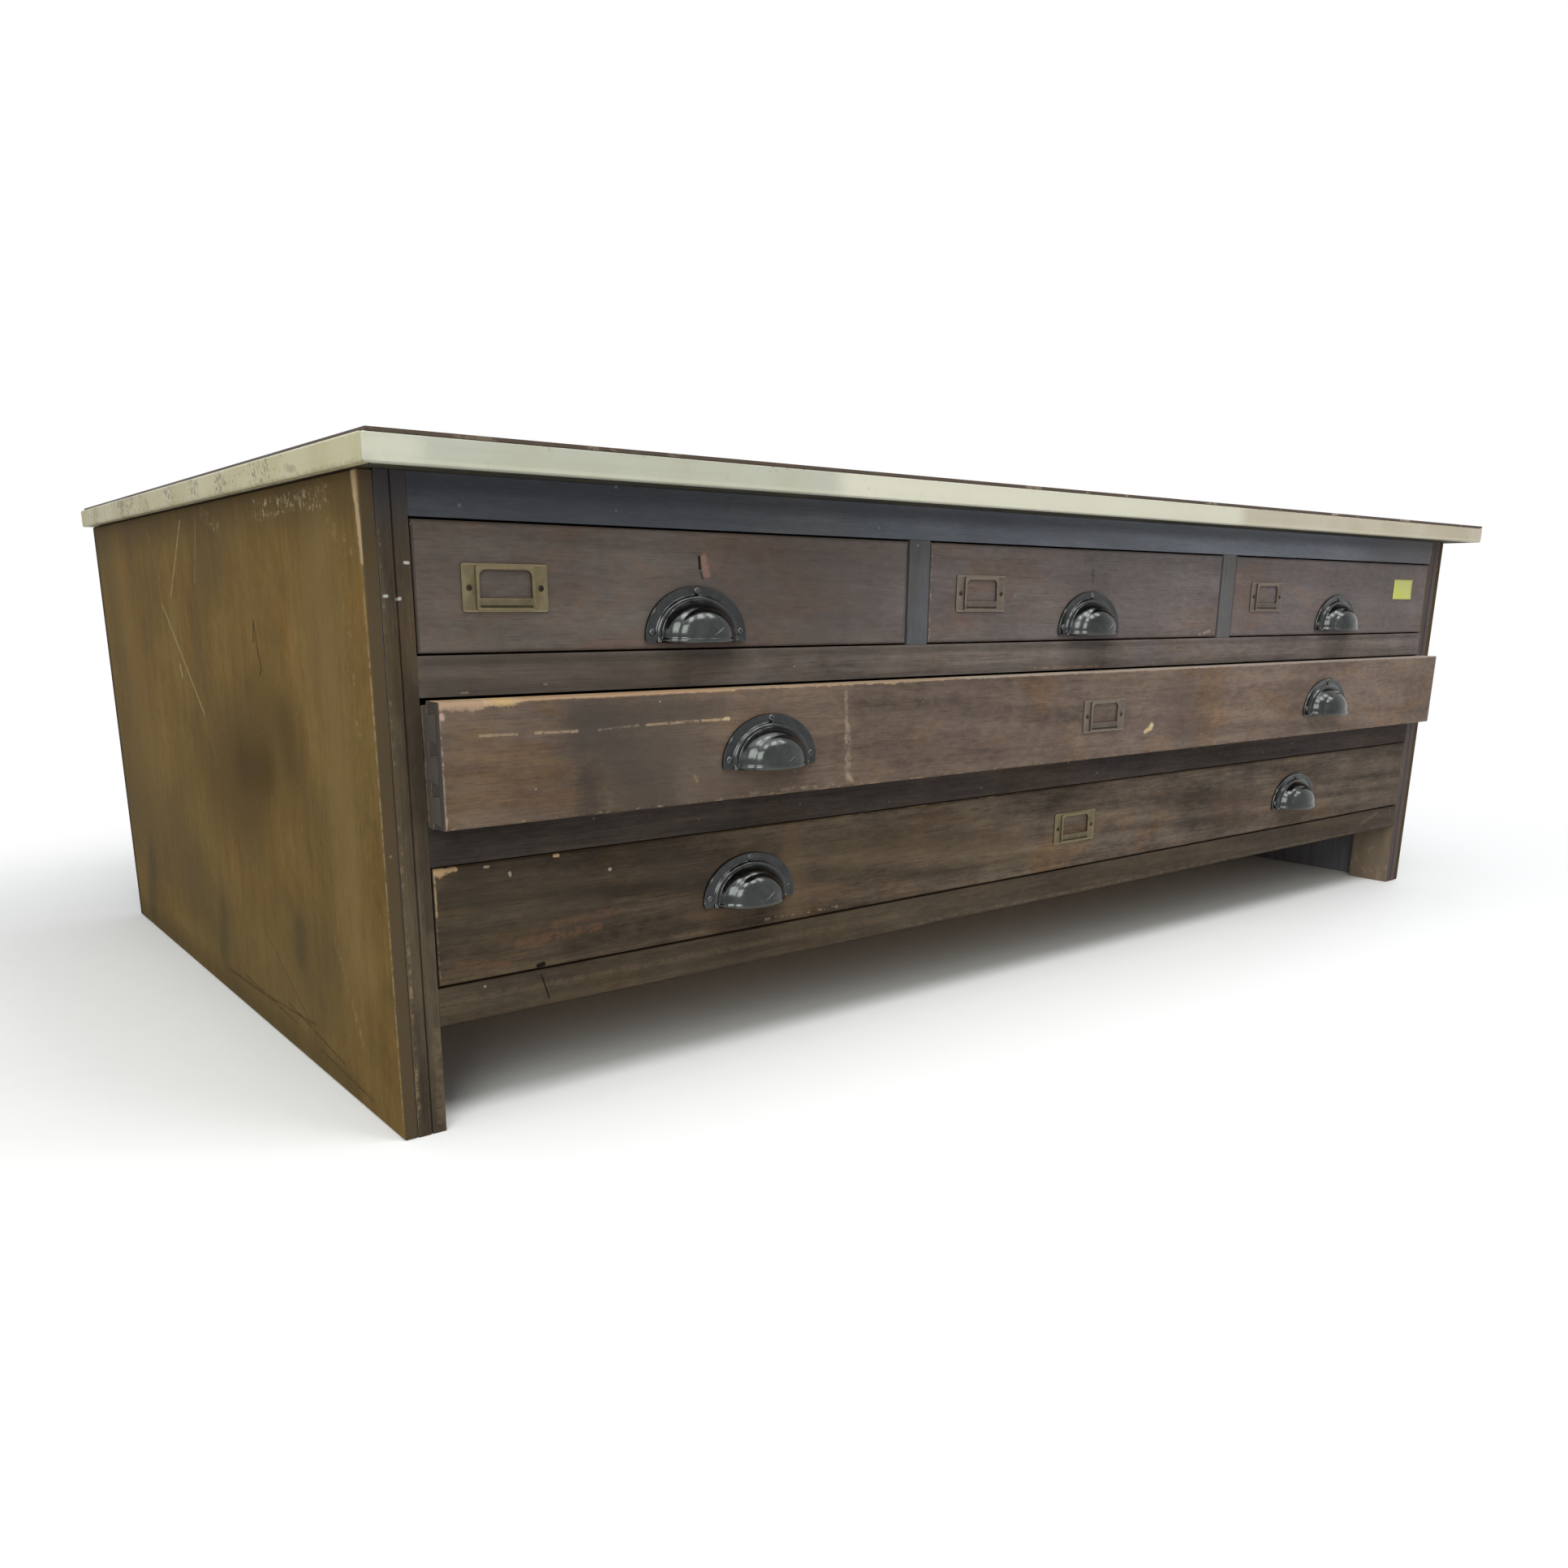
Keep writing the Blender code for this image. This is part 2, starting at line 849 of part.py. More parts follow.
def circle_outline(across, up, radius):
    """Return a circle's outline."""
    turn = 2 * math.pi / holder_screw_sides
    return [
        (across + radius * math.cos(index * turn), up + radius * math.sin(index * turn))
        for index in range(holder_screw_sides)
    ]


def build_holder(name, left, low, slide):
    """Build a card holder on a drawer front from its lower left corner."""
    window_left = (holder_width - holder_window_width) / 2
    window_low = holder_height - holder_window_drop - holder_window_height
    window = rounded_outline(
        window_left,
        window_low,
        holder_window_width,
        holder_window_height,
        0,
        holder_window_radius,
    )
    plate = rounded_outline(
        0, 0, holder_width, holder_height, holder_corner_radius, holder_corner_radius
    )
    screws = [
        circle_outline(across, holder_height / 2, holder_screw_radius)
        for across in (holder_screw_inset, holder_width - holder_screw_inset)
    ]
    holder = outline_piece(
        name,
        [plate, window, *screws],
        holder_plate,
        front_plane,
        (left, -joint_gap - holder_plate / 2, low),
        old_brass,
        slide,
    )
    frame_thickness = holder_plate / 2 + holder_raise
    frame = rounded_outline(
        holder_ear,
        holder_top_margin,
        holder_width - 2 * holder_ear,
        holder_height - 2 * holder_top_margin,
        holder_corner_radius,
        holder_corner_radius,
    )
    raised = outline_piece(
        f"{name}_raised_frame",
        [frame, window],
        frame_thickness,
        front_plane,
        (left, -joint_gap - holder_plate / 2 - frame_thickness / 2, low),
        None,
        slide,
        cutters,
    )
    combine(holder, raised, "UNION")
    face = -joint_gap - holder_plate - holder_raise
    groove = cutter_boxes(
        f"{name}_lip_groove",
        [
            (
                (left + window_left, face - cut_overrun, low + holder_lip_rise),
                (
                    left + window_left + holder_window_width,
                    face + holder_lip_depth,
                    low + holder_lip_rise + holder_lip_groove,
                ),
            )
        ],
        slide,
    )
    combine(holder, groove, "DIFFERENCE")


def build_drawers(cabinet):
    """Build the five drawers with their pulls and card holders."""
    pull_mesh = pull_shell_mesh()
    small_names = ("top_left_drawer", "top_middle_drawer", "top_right_drawer")
    holder_rise = (opening_height - holder_height) / 2
    for drawer, (left, right) in zip(small_names, small_openings()):
        width = right - left - 2 * front_gap
        slide = new_empty(f"{drawer}_slide", cabinet, (left + front_gap, 0, row_floors[2]))
        build_drawer_box(drawer, width, False, slide)
        build_pull(f"{drawer}_pull", width / 2, pull_small_rise, slide, pull_mesh)
        build_holder(f"{drawer}_card_holder", holder_small_place, holder_rise, slide)
    for drawer, row, out in (
        ("upper_wide_drawer", 1, upper_wide_drawer_out),
        ("lower_wide_drawer", 0, 0),
    ):
        width = wide_opening - 2 * front_gap
        place = (opening_left + front_gap, -out, row_floors[row])
        slide = new_empty(f"{drawer}_slide", cabinet, place)
        build_drawer_box(drawer, width, True, slide)
        pull_place = pull_wide_place - opening_left - front_gap
        for side, across in (("left", pull_place), ("right", width - pull_place)):
            build_pull(f"{drawer}_{side}_pull", across, pull_wide_rise, slide, pull_mesh)
        build_holder(
            f"{drawer}_card_holder", (width - holder_width) / 2, holder_rise, slide
        )


cabinet_frame = new_empty("cabinet", None, (-centre_x, -centre_y, 0))
build_side_panels(cabinet_frame)
build_face_frame(cabinet_frame)
build_runner_frames(cabinet_frame)
build_centre_runners(cabinet_frame)
build_back_panel(cabinet_frame)
build_top(cabinet_frame)
build_drawers(cabinet_frame)
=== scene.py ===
"""Looks of the low flat file cabinet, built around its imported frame.

Every carried-over piece gets a procedural material of its own. The cup pulls are
modelled again in fine detail, the pulls and card holders get their screws, and
the studio and the camera repeat the photograph's view. Lengths are metres. Sizes
inside the cabinet are measured from the lower front left corner of its left side
panel, as in the part's own source: X to the right, Y to the back, Z up.
"""

import logging
import math
import random
from collections.abc import Sequence
from dataclasses import dataclass
from enum import Enum
from functools import reduce
from typing import Optional, Union

import bmesh
import bpy
from mathutils import Matrix, Vector


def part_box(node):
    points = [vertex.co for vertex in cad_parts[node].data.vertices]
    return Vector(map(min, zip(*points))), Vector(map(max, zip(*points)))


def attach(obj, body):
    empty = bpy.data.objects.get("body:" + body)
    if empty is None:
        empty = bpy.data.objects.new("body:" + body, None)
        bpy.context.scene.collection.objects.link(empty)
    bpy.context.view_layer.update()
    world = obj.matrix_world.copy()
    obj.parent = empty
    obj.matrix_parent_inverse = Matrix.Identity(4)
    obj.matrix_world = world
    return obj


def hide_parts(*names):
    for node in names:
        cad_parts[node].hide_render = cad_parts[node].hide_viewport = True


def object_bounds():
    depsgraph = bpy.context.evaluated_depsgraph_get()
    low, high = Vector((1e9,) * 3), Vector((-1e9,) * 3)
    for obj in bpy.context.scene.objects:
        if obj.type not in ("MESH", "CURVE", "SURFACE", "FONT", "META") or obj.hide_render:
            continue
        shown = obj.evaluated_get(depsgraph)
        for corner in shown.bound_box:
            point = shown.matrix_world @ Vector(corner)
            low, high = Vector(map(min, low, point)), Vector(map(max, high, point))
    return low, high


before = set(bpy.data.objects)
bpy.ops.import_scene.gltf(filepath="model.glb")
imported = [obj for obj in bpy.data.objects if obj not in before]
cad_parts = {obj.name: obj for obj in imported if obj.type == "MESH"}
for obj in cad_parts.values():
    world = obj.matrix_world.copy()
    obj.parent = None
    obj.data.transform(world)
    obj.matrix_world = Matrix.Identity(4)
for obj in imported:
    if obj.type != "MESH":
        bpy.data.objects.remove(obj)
cad_low, cad_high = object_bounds()

log = logging.getLogger("flat_file_cabinet")

Colour = tuple[float, float, float]
Point = tuple[float, float]
Box = tuple[Vector, Vector]
Socket = bpy.types.NodeSocket
Value = Union[Socket, float, Sequence[float]]

X, Y, Z = range(3)
# The cabinet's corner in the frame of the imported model
CORNER = Vector((-0.7685, -0.40885, 0.0))
# Distance between pieces that touch
GAP = 0.0003
# Depth of the upper wide drawer's face, which stands out of the frame
PULLED_FACE = -0.0275
# Where a front's finish ends and its bare wood starts, behind its face
FINISH_END = (0.0188, 0.0204)
# How far a material's grain can be moved along each axis
GRAIN_SHIFT = 4.0
# Half the width of the step between the whole and the broken places of a mark
CRUMBLE_STEP = 0.06
# Points nearer to each other than this are one
WELD = 0.00001
# Scale of a pattern that isn't drawn out
EVEN = (1.0, 1.0, 1.0)
# Whole cabinet's ends, the top's overhang included
LEFT_END, RIGHT_END = ((corner - CORNER).x for corner in (cad_low, cad_high))


class Grain(Enum):
    """Axis that a board's grain runs along."""

    ALONG_X = X
    ALONG_Y = Y
    ALONG_Z = Z

    def drawn(self, along: float, across: float) -> tuple[float, ...]:
        """Return a mapping's scale that draws features out along the grain."""
        return tuple(along if axis == self.value else across for axis in (X, Y, Z))


class Face(Enum):
    """Plane that marks are drawn on, by the two axes that span it."""

    FRONT = (X, Z)
    SIDE = (Y, Z)
    LEVEL = (X, Y)


# Lengths over which the colour of the painted strips changes
STRIP_LENGTHS = {Face.FRONT: 1.5, Face.SIDE: 0.85}


@dataclass(frozen=True)
class Stroke:
    """A worn, dirty or scratched mark, or a painted shade, shadow or highlight, between two points
    of a face.

    The points are cabinet sizes on the face's two axes. A stroke whose ends
    are the same point is a spot.
    """

    start: Point
    end: Point
    width: float
    colour: Colour
    strength: float = 1.0
    ragged: float = 0.6
    broken: float = 0.0
    soft: float = 0.45


def strokes(*rows: Sequence) -> tuple[Stroke, ...]:
    """Return the marks of one piece, the last one on top.

    Args:
        rows: the fields of each stroke, in their order.
    """
    return tuple(Stroke(*row) for row in rows)


def box(node: str) -> Box:
    """Return the lowest and the highest corner of a node, in cabinet sizes."""
    low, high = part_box(node)
    return low - CORNER, high - CORNER


class ShaderGraph:
    """Adds and links the nodes of one procedural material."""

    def __init__(self, name: str, seed: int = 0) -> None:
        """Start a material that has a Principled shader and nothing else.

        Args:
            name: the material's name.
            seed: moves the grain, so that no two boards look alike.
        """
        self.material = bpy.data.materials.new(name)
        self.material.use_nodes = True
        self.tree = self.material.node_tree
        self.tree.nodes.clear()
        self.output = self.add("OutputMaterial")
        self.shader = self.add("BsdfPrincipled")
        self.feed(self.output.inputs["Surface"], self.shader.outputs["BSDF"])
        spot = self.add("TexCoord").outputs["Object"]
        self.place = self.vector("SUBTRACT", spot, CORNER)
        source = random.Random(seed)
        self.shift = tuple(source.uniform(-GRAIN_SHIFT, GRAIN_SHIFT) for _ in range(3))

    def add(
        self, kind: str, inputs: "dict[str | int, Value] | None" = None, **settings: str
    ) -> bpy.types.Node:
        """Add a node.

        Args:
            kind: the node's type, without the beginning that all types share.
            inputs: what its inputs are linked or set to, by name or number.
            settings: the node's own settings.

        Returns:
            The new node.
        """
        node = self.tree.nodes.new("ShaderNode" + kind)
        for name, value in settings.items():
            setattr(node, name, value)
        for key, value in (inputs or {}).items():
            self.feed(node.inputs[key], value)
        return node

    def feed(self, target: Socket, value: Value) -> None:
        """Link a socket to an input, or set the input's own value.

        Args:
            target: the input.
            value: an output socket, or the plain value to set.
        """
        if isinstance(value, Socket):
            self.tree.links.new(value, target)
        elif isinstance(value, (int, float)):
            target.default_value = value
        elif len(target.default_value) == 4:
            target.default_value = (*value[:3], 1.0)
        else:
            target.default_value = value

    def shade(self, inputs: dict[str, Value]) -> bpy.types.Material:
        """Set or link inputs of the Principled shader.

        Args:
            inputs: what they are linked or set to, by name.

        Returns:
            The material.
        """
        for name, value in inputs.items():
            self.feed(self.shader.inputs[name], value)
        return self.material

    def stretched(self, scale: Sequence[float], moved: bool = True) -> Socket:
        """Return the coordinates stretched along each axis.

        Args:
            scale: how many features a metre holds along each axis.
            moved: whether the material's own shift is added.
        """
        node = self.add("Mapping", {"Vector": self.place, "Scale": scale})
        if moved:
            self.feed(node.inputs["Location"], self.shift)
        return node.outputs["Vector"]

    def noise(
        self,
        scale: float,
        detail: float,
        roughness: float,
        distortion: float = 0.0,
        stretch: Sequence[float] = EVEN,
        moved: bool = True,
    ) -> Socket:
        """Return fractal noise from 0 to 1."""
        node = self.add("TexNoise", {
            "Vector": self.stretched(stretch, moved), "Scale": scale, "Detail": detail,
            "Roughness": roughness, "Distortion": distortion,
        })
        return node.outputs[0]

    def cells(self, scale: float) -> tuple[Socket, Socket]:
        """Return the distance to the nearest scattered point, and its random colour."""
        node = self.add("TexVoronoi", {"Vector": self.stretched(EVEN), "Scale": scale})
        return node.outputs["Distance"], node.outputs["Color"]

    def calc(self, operation: str, first: Value, second: Value = 0.0) -> Socket:
        """Return the result of a Math node."""
        return self.add("Math", {0: first, 1: second}, operation=operation).outputs[0]

    def plus(self, first: Value, second: Value) -> Socket:
        """Return the sum of two values."""
        return self.calc("ADD", first, second)

    def minus(self, first: Value, second: Value) -> Socket:
        """Return the first value less the second."""
        return self.calc("SUBTRACT", first, second)

    def times(self, first: Value, second: Value) -> Socket:
        """Return the product of two values."""
        return self.calc("MULTIPLY", first, second)

    def weighed(self, *layers: tuple[Socket, float]) -> Socket:
        """Return the sum of several values, each times its own weight."""
        return reduce(self.plus, [self.times(*layer) for layer in layers])

    def vector(self, operation: str, *values: Value, output: str = "Vector") -> Socket:
        """Return one output of a Vector Math node."""
        node = self.add("VectorMath", dict(enumerate(values)), operation=operation)
        return node.outputs[output]

    def fade(
        self, value: Value, start: float, end: float, low: float = 0.0, high: float = 1.0
    ) -> Socket:
        """Return a smooth step from low at start to high at end."""
        node = self.add("MapRange", {
            "Value": value, "From Min": start, "From Max": end, "To Min": low, "To Max": high,
        }, interpolation_type="SMOOTHSTEP")
        return node.outputs["Result"]

    def mix(self, amount: Value, first: Value, second: Value, blend: str = "MIX") -> Socket:
        """Return a mix of two colours."""
        inputs = {0: amount, 6: first, 7: second}
        return self.add("Mix", inputs, data_type="RGBA", blend_type=blend).outputs[2]

    def tinted(self, amount: Value, colour: Socket, tint: Colour) -> Socket:
        """Return a colour that is multiplied by a tint as far as amount says."""
        return self.mix(amount, colour, self.mix(1.0, colour, tint, "MULTIPLY"))

    def ramp(self, value: Socket, stops: Sequence[tuple[float, Colour]]) -> Socket:
        """Return the colour of a ramp at a value."""
        node = self.add("ValToRGB", {"Fac": value})
        elements = node.color_ramp.elements
        while len(elements) < len(stops):
            elements.new(0.5)
        for element, (position, colour) in zip(elements, stops):
            element.position = position
            element.color = (*colour, 1.0)
        return node.outputs["Color"]

    def split(self) -> tuple[Socket, ...]:
        """Return the three cabinet coordinates."""
        return tuple(self.add("SeparateXYZ", {0: self.place}).outputs)

    def bump(self, height: Socket, strength: float, distance: float) -> None:
        """Give the shader a bumped normal.

        Args:
            height: the height field.
            strength: the bump's strength.
            distance: how far a height of one stands out.
        """
        node = self.add("Bump", {"Height": height, "Strength": strength, "Distance": distance})
        self.shade({"Normal": node.outputs["Normal"]})

    def stroke(self, point: Socket, wobble: Socket, crumble: Socket, mark: Stroke) -> Socket:
        """Return how strongly a mark shows at each point of a face.

        Args:
            point: the coordinates on the face.
            wobble: noise that makes the mark's edge ragged.
            crumble: noise that breaks the mark up.
            mark: the mark.
        """
        run = Vector(mark.end) - Vector(mark.start)
        offset = self.vector("SUBTRACT", point, (*mark.start, 0.0))
        if run.length > 0.0:
            unit = (*(run / run.length_squared), 0.0)
            share = self.vector("DOT_PRODUCT", offset, unit, output="Value")
            held = self.add("Clamp", {"Value": share}).outputs[0]
            along = self.add("VectorMath", {0: (*run, 0.0), "Scale": held}, operation="SCALE")
            offset = self.vector("SUBTRACT", offset, along.outputs["Vector"])
        away = self.vector("LENGTH", offset, output="Value")
        away = self.plus(away, self.times(self.minus(wobble, 0.5), mark.width * mark.ragged))
        inner, outer = (mark.width / 2 * (1 + side * mark.soft) for side in (-1, 1))
        mask = self.fade(away, inner, outer, mark.strength, 0.0)
        if mark.broken > 0.0:
            whole = self.fade(crumble, mark.broken - CRUMBLE_STEP, mark.broken + CRUMBLE_STEP)
            mask = self.times(mask, whole)
        return mask

    def marked(self, colour: Socket, face: Face, marks: Sequence[Stroke]) -> Socket:
        """Return a colour with marks drawn over it.

        Args:
            colour: the surface's own colour.
            face: the plane that the marks lie on.
            marks: the marks, the last one on top.
        """
        if not marks:
            return colour
        axes = self.split()
        flat = {index: axes[axis] for index, axis in enumerate(face.value)}
        point = self.add("CombineXYZ", flat).outputs[0]
        wobble = self.noise(240.0, 3.0, 0.6, moved=False)
        crumble = self.noise(110.0, 6.0, 0.8, moved=False)
        for mark in marks:
            shown = self.stroke(point, wobble, crumble, mark)
            colour = self.mix(shown, colour, mark.colour)
        return colour


@dataclass(frozen=True)
class WoodFinish:
    """A stained or bare board: its colours, grain, gloss, dirt and wear."""

    dark: Colour
    middle: Colour
    light: Colour
    gloss: float = 0.50
    shine: float = 0.22
    figure: float = 0.35
    contrast: float = 1.0
    blotch: float = 0.35
    stain: float = 0.45
    warm: Colour = (1.14, 1.00, 0.76)
    cool: Colour = (0.84, 0.88, 1.02)
    dust: float = 0.0
    dust_colour: Colour = (0.42, 0.38, 0.32)
    worn: Colour = (0.33, 0.20, 0.11)
    wear_width: float = 0.0
    wear_amount: float = 0.5
    pores: float = 0.5
    mottle: float = 0.30
    end: Optional[Colour] = None
    bare_tones: tuple[Colour, ...] = ((0.16, 0.095, 0.05), (0.30, 0.195, 0.105), (0.40, 0.28, 0.16))

    def build(
        self,
        name: str,
        seed: int,
        grain: Grain,
        face: Face = Face.FRONT,
        edges: Optional[Box] = None,
        marks: Sequence[Stroke] = (),
        painted_sheen_right: Optional[Colour] = None,
        bare: "tuple[int, float, float] | None" = None,
    ) -> bpy.types.Material:
        """Build the board's material.

        Args:
            name: the material's name.
            seed: moves the grain.
            grain: the direction of the grain.
            face: the plane that wear and marks are drawn on.
            edges: the lowest and highest corner of the board, whose edges are worn.
            marks: single marks of wear and dirt, and painted shade, shadows and highlights.
            painted_sheen_right: painted sheen, what the colour is multiplied by towards the right
                end.
            bare: the axis, and where on it the finish ends and the bare wood starts.

        Returns:
            The material.
        """
        graph = ShaderGraph(name, seed)
        streak = graph.noise(1.0, 7.0, 0.7, 0.5, grain.drawn(6.0, 110.0))
        fibre = graph.noise(1.0, 3.0, 0.6, 0.0, grain.drawn(20.0, 760.0))
        cloud = graph.noise(6.5, 7.0, 0.62, 0.5)
        mottle = graph.noise(1.0, 5.0, 0.72, 0.4, grain.drawn(70.0, 190.0))
        value = 0.5
        for layer, weight in (
            (streak, 0.95 * self.contrast),
            (fibre, 0.65 * self.contrast),
            (self._figure(graph, grain), self.figure),
            (cloud, self.blotch * 2),
            (mottle, self.mottle * 2),
        ):
            value = graph.plus(value, graph.times(graph.minus(layer, 0.5), weight))
        colour = graph.ramp(value, ((0.12, self.dark), (0.5, self.middle), (0.9, self.light)))
        colour = self._stained(graph, grain, colour)
        # Painted sheen: the colour grows lighter towards the right end
        if painted_sheen_right is not None:
            across = graph.fade(graph.split()[X], -0.1, 1.15)
            colour = graph.tinted(across, colour, painted_sheen_right)
        pore = graph.fade(graph.noise(1.0, 2.0, 0.5, 0.0, grain.drawn(26.0, 1500.0)), 0.6, 0.7)
        colour = graph.mix(graph.times(pore, self.pores), colour, self.dark)
        height = graph.minus(graph.times(fibre, 0.5), graph.times(pore, 0.7))
        wear = None
        if edges is not None and self.wear_width > 0.0:
            wear = self._edge_wear(graph, face, edges, streak)
            colour = graph.mix(wear, colour, self.worn)
        colour = graph.marked(colour, face, marks)
        if self.end is not None and edges is not None:
            ends = self._ends(graph, face, edges)
            colour = graph.mix(ends, colour, graph.mix(mottle, self.end, self.dark))
        if self.dust > 0.0:
            colour = graph.mix(self._specks(graph), colour, self.dust_colour)
        if bare is not None:
            colour = self._bare_wood(graph, colour, streak, fibre, bare)
        patch = graph.weighed((cloud, 0.6), (fibre, 0.4))
        rough = graph.fade(patch, 0.25, 0.75, self.gloss - 0.08, self.gloss + 0.16)
        if wear is not None:
            rough = graph.plus(rough, graph.times(wear, 0.18))
        graph.bump(height, 0.35, 0.0005)
        return graph.shade({
            "Base Color": colour, "Specular IOR Level": self.shine, "Roughness": rough,
        })

    def _stained(self, graph: ShaderGraph, grain: Grain, colour: Socket) -> Socket:
        """Return the colour with warmer and cooler patches of old stain."""
        warm, cool = (
            graph.noise(1.0, 6.0, 0.68, 0.8, grain.drawn(size * 0.45, size)) for size in (13.0, 9.0)
        )
        warm = graph.fade(warm, 0.50, 0.64, 0.0, self.stain)
        cool = graph.fade(cool, 0.50, 0.66, 0.0, self.stain)
        colour = graph.tinted(warm, colour, self.warm)
        return graph.tinted(cool, colour, self.cool)

    @staticmethod
    def _figure(graph: ShaderGraph, grain: Grain) -> Socket:
        """Return the broad bands of the year rings, bent into long arches."""
        return graph.add("TexWave", {
            "Vector": graph.stretched(grain.drawn(0.55, 6.5)), "Scale": 2.6, "Distortion": 7.0,
            "Detail": 3.0, "Detail Scale": 1.3, "Detail Roughness": 0.55,
        }, wave_type="BANDS", bands_direction="DIAGONAL").outputs["Fac"]

    def _edge_wear(self, graph: ShaderGraph, face: Face, edges: Box, streak: Socket) -> Socket:
        """Return how much bare wood shows along the edges of the board's face."""
        axes = graph.split()
        low, high = edges
        nearest = reduce(lambda first, second: graph.calc("MINIMUM", first, second), (
            graph.minus(*pair)
            for axis in face.value
            for pair in ((axes[axis], low[axis]), (high[axis], axes[axis]))
        ))
        chip = graph.noise(55.0, 5.0, 0.7)
        patch = graph.noise(4.5, 2.0, 0.5)
        whole, gone = 0.62 - 0.24 * self.wear_amount, 0.80 - 0.16 * self.wear_amount
        chipped = graph.fade(graph.weighed((chip, 0.55), (patch, 0.45)), whole, gone)
        reach = graph.times(chipped, self.wear_width)
        reach = graph.plus(reach, graph.times(streak, self.wear_width * 0.12))
        return graph.fade(graph.minus(reach, nearest), -0.0004, 0.0006, 0.0, 0.85)

    @staticmethod
    def _ends(graph: ShaderGraph, face: Face, edges: Box) -> Socket:
        """Return one on the two narrow faces at the ends of the face's first axis."""
        axis = face.value[0]
        along = graph.split()[axis]
        low, high = edges[0][axis], edges[1][axis]
        start = graph.fade(along, low + 0.0004, low + 0.0012, 1.0, 0.0)
        finish = graph.fade(along, high - 0.0012, high - 0.0004)
        return graph.calc("MAXIMUM", start, finish)

    def _specks(self, graph: ShaderGraph) -> Socket:
        """Return small pale chips and dust, scattered thinly in two sizes."""
        both = 0.0
        for scale, share in ((42.0, 0.905), (120.0, 0.935)):
            distance, colour = graph.cells(scale)
            chance, size, strength = graph.add("SeparateColor", {0: colour}).outputs
            chosen = graph.fade(chance, share, share + 0.02)
            edge = graph.minus(distance, graph.times(size, scale * 0.0011))
            dot = graph.fade(edge, 0.0, scale * 0.0006, 1.0, 0.0)
            strong = graph.times(dot, graph.times(chosen, strength))
            both = graph.calc("MAXIMUM", both, strong)
        return graph.times(both, self.dust)

    def _bare_wood(
        self,
        graph: ShaderGraph,
        colour: Socket,
        streak: Socket,
        fibre: Socket,
        bare: tuple[int, float, float],
    ) -> Socket:
        """Return the colour with unfinished wood beyond a place on one axis."""
        axis, start, finish = bare
        grainy = graph.weighed((streak, 0.65), (fibre, 0.35))
        wood = graph.ramp(grainy, tuple(zip((0.25, 0.55, 0.80), self.bare_tones)))
        soak = graph.times(graph.minus(streak, 0.5), abs(finish - start) * 3.0)
        beyond = graph.fade(graph.plus(graph.split()[axis], soak), start, finish)
        return graph.mix(beyond, colour, wood)


@dataclass(frozen=True)
class PaintFinish:
    """Old paint on an edge strip, stained and flaking to the wood."""

    left: Colour
    right: Colour
    flake: float
    under: Colour = (0.16, 0.11, 0.055)
    stains: tuple[Colour, ...] = ((0.74, 0.70, 0.55), (0.80, 0.80, 0.76), (0.55, 0.48, 0.30))

    def build(
        self, name: str, seed: int, face: Face, marks: Sequence[Stroke] = ()
    ) -> bpy.types.Material:
        """Build the painted material.

        Args:
            name: the material's name.
            seed: moves the stains and flakes.
            face: the plane that marks are drawn on.
            marks: single chips and stains, and painted highlights.

        Returns:
            The material.
        """
        graph = ShaderGraph(name, seed)
        across = graph.fade(graph.split()[face.value[0]], 0.0, STRIP_LENGTHS[face])
        colour = graph.mix(across, self.left, self.right)
        cloud = graph.noise(14.0, 5.0, 0.6)
        streak = graph.noise(1.0, 4.0, 0.6, 0.0, (6.0, 6.0, 220.0))
        grime = graph.noise(75.0, 4.0, 0.7)
        spread = ((cloud, 0.35, 0.75, 0.35), (streak, 0.40, 0.75, 0.25), (grime, 0.62, 0.72, 0.45))
        for (pattern, start, end, strength), tint in zip(spread, self.stains):
            shown = graph.fade(pattern, start, end, 0.0, strength)
            colour = graph.mix(shown, colour, tint, "MULTIPLY")
        flakes = graph.noise(230.0, 5.0, 0.66, 0.2)
        amount = graph.weighed((flakes, 0.6), (graph.noise(16.0, 2.0, 0.5), 0.4))
        held = 0.12 * self.flake
        chipped = graph.fade(amount, 0.66 - held, 0.69 - held)
        colour = graph.mix(graph.times(chipped, 0.85), colour, self.under)
        colour = graph.marked(colour, face, marks)
        rough = graph.fade(cloud, 0.3, 0.7, 0.42, 0.62)
        graph.bump(graph.minus(graph.times(grime, 0.3), chipped), 0.5, 0.0005)
        return graph.shade({"Base Color": colour, "Roughness": rough})


